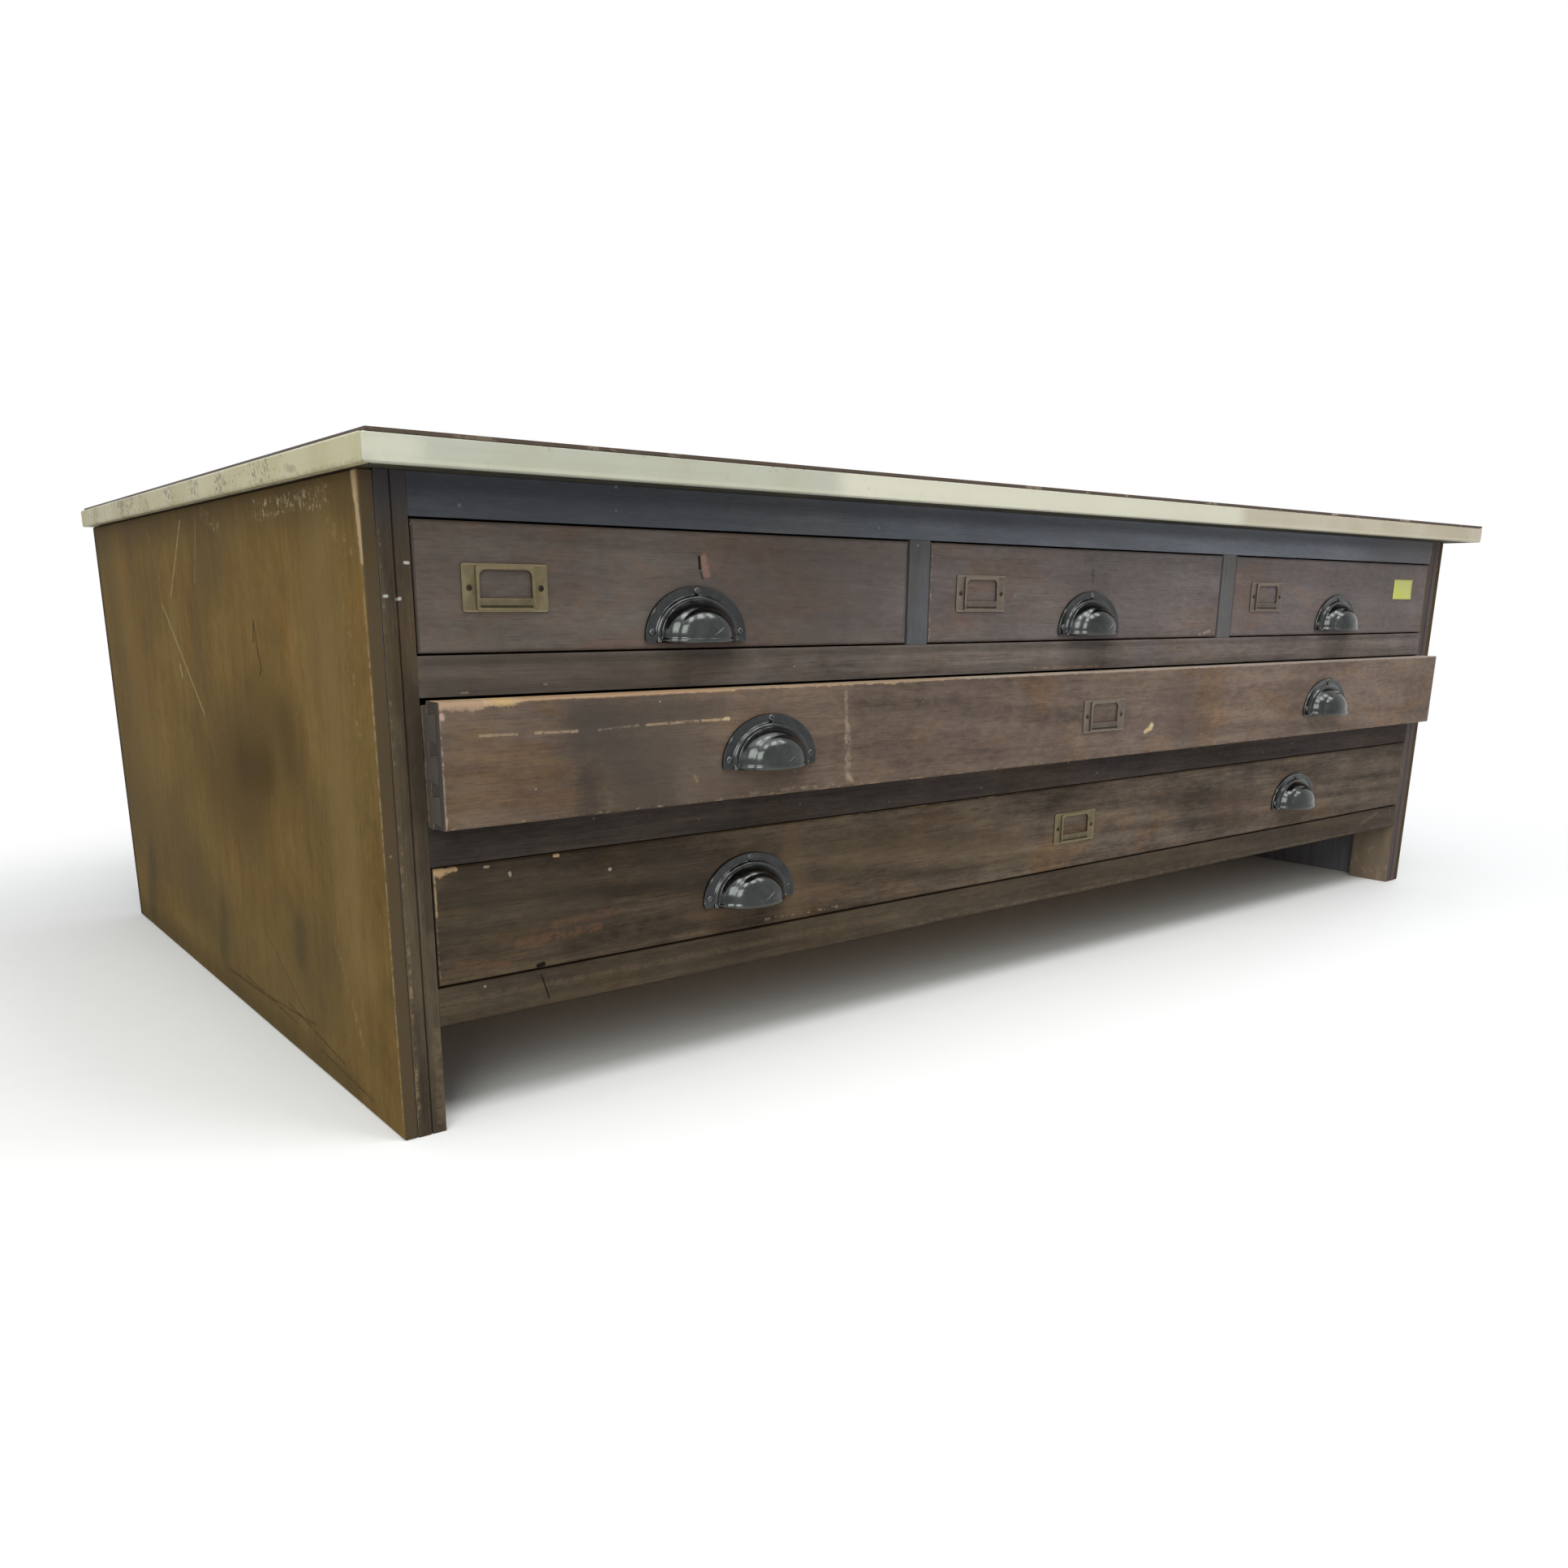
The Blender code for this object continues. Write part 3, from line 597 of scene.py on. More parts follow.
@dataclass(frozen=True)
class CoveringFinish:
    """The thin dark covering of the top, scuffed and scratched by use."""

    dark: Colour = (0.020, 0.014, 0.010)
    middle: Colour = (0.040, 0.027, 0.019)
    light: Colour = (0.075, 0.050, 0.034)
    scuffed: Colour = (0.14, 0.105, 0.075)
    ringed: Colour = (0.012, 0.009, 0.007)
    frayed: Colour = (0.090, 0.058, 0.038)
    torn: Colour = (0.30, 0.235, 0.165)

    def build(self, name: str, seed: int) -> bpy.types.Material:
        """Build the covering's material.

        Args:
            name: the material's name.
            seed: moves the scuffs.

        Returns:
            The material.
        """
        graph = ShaderGraph(name, seed)
        cloud = graph.noise(4.0, 6.0, 0.6, 0.5)
        scuff = graph.noise(1.0, 5.0, 0.65, 1.2, (40.0, 7.0, 7.0))
        cross_scuff = graph.noise(1.0, 5.0, 0.65, 1.4, (6.0, 34.0, 6.0))
        value = graph.weighed((cloud, 0.6), (scuff, 0.4))
        colour = graph.ramp(value, ((0.30, self.dark), (0.52, self.middle), (0.75, self.light)))
        thin = graph.fade(cross_scuff, 0.66, 0.70, 0.0, 0.35)
        colour = graph.mix(thin, colour, self.scuffed)
        distance, _ = graph.cells(3.1)
        ring = graph.calc("ABSOLUTE", graph.minus(distance, 0.13))
        colour = graph.mix(graph.fade(ring, 0.0, 0.012, 0.3, 0.0), colour, self.ringed)
        axes = graph.split()
        front_edge = box("top_covering")[0].y
        edge = graph.calc("MINIMUM", graph.plus(axes[Y], 0.036), graph.minus(RIGHT_END, axes[X]))
        edge = graph.calc("MINIMUM", edge, graph.minus(axes[X], LEFT_END))
        reach = graph.times(graph.noise(60.0, 5.0, 0.7), 0.03)
        worn = graph.fade(graph.minus(reach, edge), 0.0, 0.006, 0.0, 0.35)
        colour = graph.mix(worn, colour, self.frayed)
        gap = graph.noise(1.0, 5.0, 0.75, 0.0, (26.0, 26.0, 26.0))
        front = graph.fade(axes[Y], front_edge + 0.0006, front_edge + 0.0016, 1.0, 0.0)
        bare = graph.times(graph.fade(gap, 0.56, 0.62), graph.fade(axes[X], 0.25, 1.2, 0.25, 0.8))
        colour = graph.mix(graph.times(front, bare), colour, self.torn)
        rough = graph.fade(cloud, 0.3, 0.7, 0.42, 0.66)
        grit = graph.noise(900.0, 3.0, 0.6)
        graph.bump(graph.plus(grit, graph.times(scuff, 0.6)), 0.25, 0.0004)
        return graph.shade({"Base Color": colour, "Roughness": rough, "Specular IOR Level": 0.3})


@dataclass(frozen=True)
class MetalFinish:
    """Cast or pressed metal with tarnish, and brighter where hands rub it."""

    deep: Colour
    bright: Colour
    rubbed: Colour
    gloss: float
    grime: float = 0.5
    rub: float = 0.6
    coat: float = 0.0
    polish: Colour = (1.22, 1.24, 1.18)
    dirt: Colour = (0.016, 0.014, 0.012)

    def build(self, name: str, seed: int, face: Optional[float] = None) -> bpy.types.Material:
        """Build the metal's material.

        Args:
            name: the material's name.
            seed: moves the tarnish.
            face: depth of the face that a piece polished by hands stands out from.

        Returns:
            The material.
        """
        graph = ShaderGraph(name, seed)
        cloud = graph.noise(70.0, 6.0, 0.65, 0.6)
        fine = graph.noise(520.0, 4.0, 0.6)
        colour = graph.ramp(cloud, ((0.32, self.deep), (0.68, self.bright)))
        if face is not None:
            out = graph.fade(graph.split()[Y], face - 0.0035, face - 0.0120)
            colour = graph.tinted(out, colour, self.polish)
        shape = graph.add("NewGeometry").outputs["Pointiness"]
        ridge = graph.plus(shape, graph.times(fine, 0.012))
        raised = graph.fade(ridge, 0.52, 0.60, 0.0, self.rub)
        sunk = graph.fade(shape, 0.40, 0.485, self.grime, 0.0)
        colour = graph.mix(raised, colour, self.rubbed)
        colour = graph.mix(sunk, colour, self.dirt)
        pits = graph.fade(graph.noise(700.0, 3.0, 0.65), 0.64, 0.74)
        colour = graph.mix(graph.times(pits, 0.25), colour, self.deep)
        tarnish = graph.weighed((cloud, 0.7), (fine, 0.3))
        rough = graph.fade(tarnish, 0.3, 0.7, self.gloss - 0.05, self.gloss + 0.10)
        if self.coat > 0.0:
            graph.shade({"Coat Weight": self.coat, "Coat Roughness": 0.14})
        graph.bump(graph.plus(cloud, graph.times(fine, 0.3)), 0.08, 0.0005)
        return graph.shade({"Base Color": colour, "Metallic": 1.0, "Roughness": rough})


@dataclass(frozen=True)
class PaperFinish:
    """A plain sticker of coloured paper, a little faded and smudged."""

    colour: Colour
    faded: Colour
    smudged: Colour

    def build(self, name: str, seed: int) -> bpy.types.Material:
        """Build the paper's material.

        Args:
            name: the material's name.
            seed: moves the smudges.

        Returns:
            The material.
        """
        graph = ShaderGraph(name, seed)
        cloud = graph.noise(60.0, 5.0, 0.6)
        fibre = graph.noise(1800.0, 3.0, 0.6)
        colour = graph.mix(graph.fade(cloud, 0.3, 0.7), self.colour, self.faded)
        colour = graph.mix(graph.fade(fibre, 0.55, 0.75, 0.0, 0.25), colour, self.smudged)
        rough = graph.fade(fibre, 0.3, 0.7, 0.50, 0.66)
        graph.bump(fibre, 0.15, 0.0001)
        return graph.shade({"Base Color": colour, "Roughness": rough})


TAN = (0.36, 0.235, 0.140)
PALE_TAN = (0.42, 0.31, 0.20)
RED_BROWN = (0.105, 0.055, 0.032)
CHALK = (0.42, 0.42, 0.40)
# Painted shade below the pulls
PULL_SHADE = (0.030, 0.025, 0.021)
CRACK = (0.008, 0.006, 0.005)
INK = (0.034, 0.022, 0.010)
# Dirt, and the painted shadow under the left edge strip
GRIME_AND_SHADE = (0.050, 0.035, 0.018)
HANDLED = (0.052, 0.048, 0.046)
WHITE = (1.0, 1.0, 1.0)

OLIVE_SIDE = WoodFinish(
    (0.080, 0.049, 0.0155), (0.140, 0.088, 0.028), (0.205, 0.137, 0.051), gloss=0.62, shine=0.02,
    figure=0.06, contrast=0.26, blotch=0.70, stain=0.48, warm=(1.10, 0.96, 0.84),
    cool=(0.90, 0.98, 0.98), dust=0.65, dust_colour=(0.27, 0.205, 0.105), worn=(0.25, 0.18, 0.09),
    wear_width=0.0024, wear_amount=0.20, pores=0.30, mottle=0.28, end=(0.066, 0.054, 0.044),
    bare_tones=((0.112, 0.105, 0.115), (0.178, 0.170, 0.188), (0.250, 0.242, 0.265)),
)
FRAME = WoodFinish(
    (0.046, 0.036, 0.029), (0.092, 0.075, 0.060), (0.142, 0.117, 0.094), gloss=0.56, shine=0.08,
    figure=0.12, contrast=0.80, blotch=0.55, dust=0.60, wear_width=0.003, wear_amount=0.2,
    worn=(0.21, 0.155, 0.105),
)
# Painted shade: darker than the wood, for the shade that the pulled-out drawer casts on the middle
# rail
SHADED_MIDDLE_RAIL = WoodFinish(
    (0.015, 0.012, 0.010), (0.037, 0.030, 0.026), (0.066, 0.051, 0.041), gloss=0.60, shine=0.04,
    figure=0.15, contrast=0.8, blotch=0.45, dust=0.4, wear_width=0.003, wear_amount=0.2,
    worn=(0.14, 0.10, 0.07),
)
FOOT_RAIL = WoodFinish(
    (0.028, 0.020, 0.014), (0.055, 0.041, 0.027), (0.088, 0.066, 0.044), gloss=0.60, shine=0.05,
    figure=0.15, contrast=0.8, blotch=0.45, dust=0.5, wear_width=0.003, wear_amount=0.25,
    worn=(0.15, 0.11, 0.07),
)
POST = WoodFinish(
    (0.034, 0.025, 0.017), (0.060, 0.045, 0.030), (0.096, 0.072, 0.046), gloss=0.56, shine=0.07,
    figure=0.15, contrast=0.9, blotch=0.45, dust=0.65, dust_colour=(0.32, 0.26, 0.18),
    wear_width=0.0025, wear_amount=0.30, worn=(0.19, 0.135, 0.080),
)
RIGHT_POST = WoodFinish(
    (0.046, 0.036, 0.033), (0.080, 0.062, 0.058), (0.116, 0.092, 0.083), gloss=0.56, shine=0.07,
    figure=0.15, contrast=0.9, blotch=0.45, dust=0.65, dust_colour=(0.36, 0.29, 0.20),
    wear_width=0.0035, wear_amount=0.45, worn=(0.28, 0.21, 0.14),
)
# Its cool bluish cast is a painted reflection; the top rail and the dividers share it
TOP_RAIL = WoodFinish(
    (0.029, 0.031, 0.036), (0.045, 0.049, 0.057), (0.069, 0.073, 0.084), gloss=0.48, shine=0.14,
    figure=0.08, contrast=0.45, blotch=0.40, stain=0.35, dust=0.3, wear_width=0.002,
    wear_amount=0.15, mottle=0.22,
)
SMALL_FRONT = WoodFinish(
    (0.052, 0.041, 0.033), (0.083, 0.065, 0.055), (0.120, 0.097, 0.082), gloss=0.56, shine=0.08,
    figure=0.10, contrast=0.42, blotch=0.50, stain=0.70, warm=(1.20, 0.98, 0.84),
    cool=(0.90, 0.96, 0.96), dust=0.55, dust_colour=(0.28, 0.23, 0.18), wear_width=0.0020,
    wear_amount=0.25, worn=(0.22, 0.16, 0.11), pores=0.55, mottle=0.36, end=(0.060, 0.050, 0.044),
)
UPPER_FRONT = WoodFinish(
    (0.046, 0.033, 0.025), (0.089, 0.063, 0.046), (0.137, 0.100, 0.071), gloss=0.58, shine=0.07,
    figure=0.15, contrast=0.55, blotch=0.65, stain=0.75, warm=(1.16, 1.00, 0.78),
    cool=(0.84, 0.86, 0.96), dust=0.90, dust_colour=(0.32, 0.25, 0.175), wear_width=0.0034,
    wear_amount=0.45, worn=(0.29, 0.195, 0.118), pores=0.65, mottle=0.42, end=(0.062, 0.057, 0.056),
)
LOWER_FRONT = WoodFinish(
    (0.022, 0.016, 0.010), (0.052, 0.036, 0.023), (0.092, 0.065, 0.039), gloss=0.58, shine=0.06,
    figure=0.28, contrast=0.75, blotch=0.70, stain=0.75, warm=(1.26, 1.00, 0.72),
    cool=(0.84, 0.90, 0.98), dust=0.90, dust_colour=(0.29, 0.23, 0.155), wear_width=0.0028,
    wear_amount=0.35, worn=(0.25, 0.165, 0.095), pores=0.65, mottle=0.42, end=(0.045, 0.040, 0.036),
)
INNER = WoodFinish(
    (0.215, 0.140, 0.075), (0.345, 0.238, 0.136), (0.460, 0.340, 0.210), gloss=0.66, shine=0.15,
    figure=0.45, contrast=0.75, blotch=0.35, stain=0.35, dust=0.3, dust_colour=(0.12, 0.09, 0.06),
    wear_width=0.004, wear_amount=0.4, worn=(0.18, 0.12, 0.07), pores=0.25,
)
CARCASS_INNER = WoodFinish(
    (0.120, 0.080, 0.048), (0.220, 0.155, 0.095), (0.310, 0.230, 0.150), gloss=0.70, shine=0.10,
    figure=0.35, contrast=0.8, blotch=0.45, dust=0.4, dust_colour=(0.40, 0.36, 0.30), pores=0.3,
)
UNDERSIDE = WoodFinish(
    (0.030, 0.028, 0.020), (0.052, 0.049, 0.037), (0.080, 0.074, 0.056), gloss=0.66, shine=0.08,
    figure=0.20, contrast=0.6, blotch=0.45, pores=0.3,
)
BACK = WoodFinish(
    (0.100, 0.066, 0.036), (0.190, 0.132, 0.078), (0.280, 0.205, 0.128), gloss=0.68, shine=0.10,
    figure=0.50, contrast=0.9, blotch=0.50, dust=0.5, dust_colour=(0.33, 0.28, 0.20),
    wear_width=0.008, wear_amount=0.4, worn=(0.34, 0.26, 0.16), pores=0.3,
)
SAGE = PaintFinish((0.385, 0.390, 0.320), (0.455, 0.400, 0.305), 0.06)
CREAM = PaintFinish((0.410, 0.375, 0.222), (0.390, 0.356, 0.222), 0.75)
BRONZE = MetalFinish(
    (0.022, 0.024, 0.025), (0.046, 0.048, 0.049), (0.200, 0.205, 0.180), 0.17,
    grime=0.55, rub=0.70, coat=0.30,
)
BRASS = MetalFinish(
    (0.085, 0.070, 0.042), (0.160, 0.132, 0.080), (0.300, 0.245, 0.140), 0.50, grime=0.7, rub=0.5
)
DULL_BRASS = MetalFinish(
    (0.082, 0.068, 0.056), (0.142, 0.118, 0.098), (0.290, 0.235, 0.185), 0.50, grime=0.7, rub=0.6
)
STEEL = MetalFinish(
    (0.040, 0.040, 0.040), (0.090, 0.090, 0.088), (0.240, 0.240, 0.225), 0.34, grime=0.8, rub=0.5
)
RUSTY = MetalFinish(
    (0.022, 0.016, 0.012), (0.060, 0.044, 0.030), (0.150, 0.120, 0.080), 0.50, grime=0.8, rub=0.4
)
PAPER = PaperFinish((0.53, 0.55, 0.085), (0.51, 0.52, 0.16), (0.62, 0.60, 0.42))

# The single marks that the photograph shows, by the piece they are on. Each row has the start,
# the end, the width, the colour and the strength, and where they differ from the defaults how
# ragged, how broken and how soft the mark is.
# Some rows are painted shade, shadow or highlight; each such row has its own comment
LEFT_SIDE_MARKS = strokes(
    ((0.44, 0.215), (0.3, 0.225), 0.1, (0.078, 0.046, 0.014), 0.6, 0.4, 0.0, 0.95),
    ((0.35, 0.25), (0.19, 0.275), 0.09, (0.078, 0.048, 0.015), 0.6, 0.4, 0.0, 0.95),
    ((0.26, 0.3), (0.225, 0.3), 0.06, (0.085, 0.054, 0.018), 0.45, 0.4, 0.0, 0.95),
    ((0.33, 0.245), (0.26, 0.25), 0.044, (0.05, 0.029, 0.008), 0.62, 0.6, 0.0, 0.95),
    ((0.195, 0.296), (0.193, 0.262), 0.036, (0.06, 0.038, 0.014), 0.45, 0.6, 0.0, 0.95),
    ((0.8, 0.33), (0.8, 0.43), 0.07, (0.08, 0.056, 0.022), 0.45, 0.3, 0.0, 0.95),
    ((0.48, 0.07), (0.56, 0.085), 0.08, (0.085, 0.062, 0.028), 0.45, 0.4, 0.0, 0.95),
    ((0.21, 0.11), (0.205, 0.095), 0.04, (0.08, 0.058, 0.026), 0.5, 0.5, 0.0, 0.95),
    ((0.15, 0.08), (0.42, 0.06), 0.11, (0.098, 0.07, 0.03), 0.4, 0.3, 0.0, 0.95),
    ((0.6, 0.12), (0.84, 0.15), 0.13, (0.09, 0.062, 0.026), 0.4, 0.3, 0.0, 0.95),
    # Painted shadow under the overhang of the left edge strip
    ((0.0, 0.468), (0.866, 0.47), 0.044, GRIME_AND_SHADE, 0.62, 0.3, 0.0, 0.95),
    ((0.395, 0.419), (0.35, 0.43), 0.07, (0.078, 0.054, 0.024), 0.4, 0.3, 0.0, 0.95),
    ((0.107, 0.445), (0.09, 0.36), 0.07, (0.09, 0.058, 0.024), 0.35, 0.3, 0.0, 0.95),
    ((0.76, 0.09), (0.79, 0.02), 0.038, (0.052, 0.04, 0.02), 0.6, 0.6, 0.42, 0.9),
    ((0.45, 0.088), (0.47, 0.04), 0.03, (0.06, 0.046, 0.024), 0.5, 0.6, 0.42, 0.9),
    ((0.207, 0.122), (0.214, 0.095), 0.024, (0.055, 0.042, 0.022), 0.55, 0.6, 0.4, 0.9),
    ((0.86, 0.008), (0.1, 0.008), 0.03, (0.06, 0.045, 0.022), 0.5, 0.5, 0.0, 0.95),
    ((0.4573, 0.0248), (0.3359, 0.0287), 0.0028, (0.042, 0.03, 0.015), 0.65, 0.8, 0.42),
    ((0.3359, 0.0287), (0.1896, 0.0391), 0.0024, (0.042, 0.03, 0.015), 0.6, 0.8, 0.44),
    ((0.0434, 0.43), (0.03, 0.3), 0.01, (0.3, 0.235, 0.13), 0.55, 1.3, 0.6),
    # Dark band along the rear edge: painted shade and dark wear
    ((0.863, 0.0), (0.863, 0.472), 0.016, (0.026, 0.018, 0.01), 0.8, 0.1, 0.0, 0.6),
    ((0.075, 0.12), (0.085, 0.42), 0.06, (0.185, 0.128, 0.056), 0.35, 0.4, 0.0, 0.95),
    ((0.7, 0.25), (0.76, 0.4), 0.1, (0.19, 0.125, 0.05), 0.3, 0.4, 0.0, 0.95),
    ((0.46, 0.461), (0.526, 0.393), 0.0027, (0.29, 0.225, 0.125), 0.78, 0.6, 0.42),
    ((0.405, 0.46), (0.43, 0.405), 0.002, (0.26, 0.2, 0.105), 0.6, 0.5, 0.47),
    ((0.598, 0.4595), (0.5648, 0.41), 0.0022, (0.25, 0.19, 0.1), 0.5, 0.6, 0.48),
    ((0.5648, 0.3848), (0.4453, 0.283), 0.0027, (0.3, 0.235, 0.135), 0.76, 0.6, 0.42),
    ((0.4453, 0.283), (0.41, 0.23), 0.0014, (0.235, 0.17, 0.085), 0.45, 0.5, 0.48),
    ((0.5192, 0.326), (0.515, 0.316), 0.0055, (0.3, 0.24, 0.13), 0.7, 0.9, 0.4),
    ((0.2573, 0.3727), (0.263, 0.356), 0.0024, INK, 0.85, 0.5),
    ((0.2573, 0.3727), (0.253, 0.35), 0.0022, INK, 0.8, 0.5),
    ((0.253, 0.35), (0.2476, 0.3337), 0.0026, (0.03, 0.02, 0.01), 0.85, 0.5),
    ((0.2476, 0.3337), (0.253, 0.329), 0.0022, INK, 0.8, 0.5),
    ((0.396, 0.033), (0.24, 0.026), 0.0022, GRIME_AND_SHADE, 0.65, 0.9, 0.44),
    ((0.26, 0.04), (0.122, 0.024), 0.002, (0.045, 0.032, 0.016), 0.7, 0.9, 0.44),
    ((0.18, 0.019), (0.06, 0.012), 0.0026, GRIME_AND_SHADE, 0.6, 0.9, 0.44),
    ((0.23, 0.458), (0.06, 0.459), 0.013, (0.33, 0.285, 0.18), 0.78, 1.2, 0.56),
    ((0.38, 0.464), (0.33, 0.448), 0.011, (0.25, 0.21, 0.125), 0.45, 1.2, 0.54),
    ((0.06, 0.44), (0.02, 0.42), 0.012, (0.26, 0.2, 0.11), 0.4, 1.2, 0.56),
    ((0.0065, 0.474), (0.005, 0.456), 0.009, (0.34, 0.25, 0.145), 0.92, 0.5),
    ((0.005, 0.456), (0.001, 0.415), 0.0066, (0.36, 0.265, 0.155), 0.92, 0.6),
    ((0.0018, 0.474), (0.0014, 0.452), 0.003, (0.2, 0.12, 0.06), 0.8, 0.8),
    ((0.003, 0.42), (0.0014, 0.29), 0.0024, (0.27, 0.205, 0.115), 0.7, 0.9, 0.47),
    ((0.0014, 0.29), (0.0012, 0.01), 0.0022, (0.235, 0.195, 0.11), 0.65, 1.0, 0.48),
    ((0.024, 0.4), (0.02, 0.16), 0.011, (0.27, 0.22, 0.13), 0.55, 1.3, 0.63),
    ((0.12, 0.13), (0.07, 0.05), 0.006, (0.24, 0.19, 0.105), 0.45, 1.2, 0.54),
    ((0.32, 0.1), (0.19, 0.03), 0.002, (0.06, 0.042, 0.02), 0.55, 0.8, 0.44),
)
LEFT_POST_MARKS = strokes(
    # Painted shadow at the top of the post, under the top's overhang
    ((0.005, 0.47), (0.04, 0.47), 0.056, (0.042, 0.04, 0.045), 0.8, 0.2, 0.0, 0.95),
    ((0.0285, 0.4139), (0.0312, 0.4139), 0.0018, CHALK, 0.85, 0.7),
    ((0.0127, 0.392), (0.0147, 0.3922), 0.0018, CHALK, 0.8, 0.7),
    ((0.0216, 0.39), (0.0236, 0.3905), 0.0019, CHALK, 0.8, 0.7),
    ((0.03, 0.16), (0.03, 0.33), 0.0075, (0.03, 0.023, 0.017), 0.55, 0.6, 0.0, 0.9),
    ((0.0125, 0.01), (0.0122, 0.22), 0.0024, (0.22, 0.165, 0.09), 0.6, 0.9, 0.54),
    ((0.012, 0.22), (0.012, 0.44), 0.0018, (0.2, 0.155, 0.1), 0.5, 0.9, 0.57),
    ((0.029, 0.01), (0.03, 0.08), 0.006, (0.135, 0.1, 0.058), 0.5, 0.9, 0.47),
)
UPPER_RAIL_MARKS = strokes(
    ((0.68, 0.3265), (0.78, 0.3262), 0.0024, (0.3, 0.2, 0.125), 0.75, 0.8, 0.47),
    ((0.064, 0.3262), (0.069, 0.3264), 0.0017, PALE_TAN, 0.6, 1.4),
    ((0.13, 0.33), (0.132, 0.33), 0.0015, PALE_TAN, 0.5, 1.4),
    # Painted shade below the pull
    ((0.255, 0.34), (0.31, 0.342), 0.02, PULL_SHADE, 0.35, 0.5, 0.0, 0.9),
    ((0.05, 0.34), (0.22, 0.34), 0.05, (0.066, 0.054, 0.044), 0.45, 0.3, 0.0, 0.95),
    # Painted shade along the rail's top, under the small drawers
    ((0.04, 0.348), (1.48, 0.348), 0.006, (0.04, 0.033, 0.028), 0.45, 0.5, 0.0, 0.9),
    ((1.23, 0.345), (1.265, 0.3455), 0.0016, (0.26, 0.22, 0.19), 0.6, 0.6, 0.45),
)
TOP_RAIL_MARKS = strokes(
    # Painted shadow of the top's overhang along the rail's upper edge
    ((0.033, 0.466), (1.487, 0.466), 0.012, (0.03, 0.031, 0.037), 0.5, 0.4, 0.0, 0.95),
    # Painted light: a paler patch at the right end
    ((1.38, 0.455), (1.5, 0.455), 0.14, (0.09, 0.083, 0.084), 0.65, 0.2, 0.0, 0.95),
)
TOP_LEFT_MARKS = strokes(
    ((0.2745, 0.4222), (0.2775, 0.411), 0.007, (0.24, 0.14, 0.11), 0.9, 0.9),
    ((0.279, 0.4195), (0.286, 0.4165), 0.004, (0.16, 0.092, 0.072), 0.7, 1.1),
    ((0.286, 0.4165), (0.3, 0.415), 0.008, (0.13, 0.082, 0.07), 0.4, 1.2, 0.46),
    ((0.2704, 0.4232), (0.2711, 0.415), 0.0028, CRACK, 1.0, 0.5),
    ((0.2716, 0.412), (0.2735, 0.4075), 0.0018, (0.02, 0.014, 0.011), 0.85, 0.7),
    ((0.25, 0.415), (0.235, 0.413), 0.006, (0.15, 0.105, 0.08), 0.35, 1.2, 0.52),
    ((0.3, 0.408), (0.325, 0.412), 0.012, (0.125, 0.086, 0.07), 0.35, 1.1, 0.48),
    # Painted shade below the pull
    ((0.266, 0.345), (0.266, 0.37), 0.07, PULL_SHADE, 0.3, 0.2, 0.0, 0.95),
    ((0.34, 0.4), (0.43, 0.4), 0.1, (0.06, 0.048, 0.043), 0.42, 0.3, 0.0, 0.95),
    ((0.497, 0.438), (0.496, 0.36), 0.003, (0.07, 0.062, 0.068), 0.6, 0.5),
    ((0.0345, 0.438), (0.0345, 0.356), 0.003, (0.045, 0.037, 0.032), 0.6, 0.5),
    ((0.04, 0.3535), (0.49, 0.3535), 0.0018, (0.23, 0.175, 0.13), 0.45, 1.0, 0.55),
)
TOP_MIDDLE_MARKS = strokes(
    ((0.7618, 0.4223), (0.7625, 0.405), 0.003, (0.06, 0.046, 0.039), 0.7, 0.6),
    ((0.76, 0.41), (0.764, 0.406), 0.0055, (0.16, 0.118, 0.092), 0.5, 1.0, 0.45),
    ((0.5285, 0.43), (0.5285, 0.355), 0.003, (0.3, 0.25, 0.195), 0.7, 0.9, 0.55),
    ((0.645, 0.398), (0.66, 0.39), 0.004, (0.26, 0.21, 0.17), 0.4, 1.1, 0.54),
    ((0.96, 0.356), (0.98, 0.36), 0.0036, (0.34, 0.26, 0.175), 0.55, 1.0, 0.5),
    # Painted shade below the pull
    ((0.76, 0.36), (0.76, 0.37), 0.08, PULL_SHADE, 0.25, 0.2, 0.0, 0.95),
    ((0.54, 0.3535), (0.98, 0.3535), 0.0018, (0.24, 0.19, 0.145), 0.45, 1.0, 0.55),
)
TOP_RIGHT_MARKS = strokes(
    # Painted shade below the pull
    ((1.2535, 0.36), (1.2535, 0.37), 0.08, PULL_SHADE, 0.22, 0.2, 0.0, 0.95),
    ((1.03, 0.3545), (1.47, 0.3545), 0.0024, (0.24, 0.19, 0.15), 0.45, 1.0, 0.55),
)
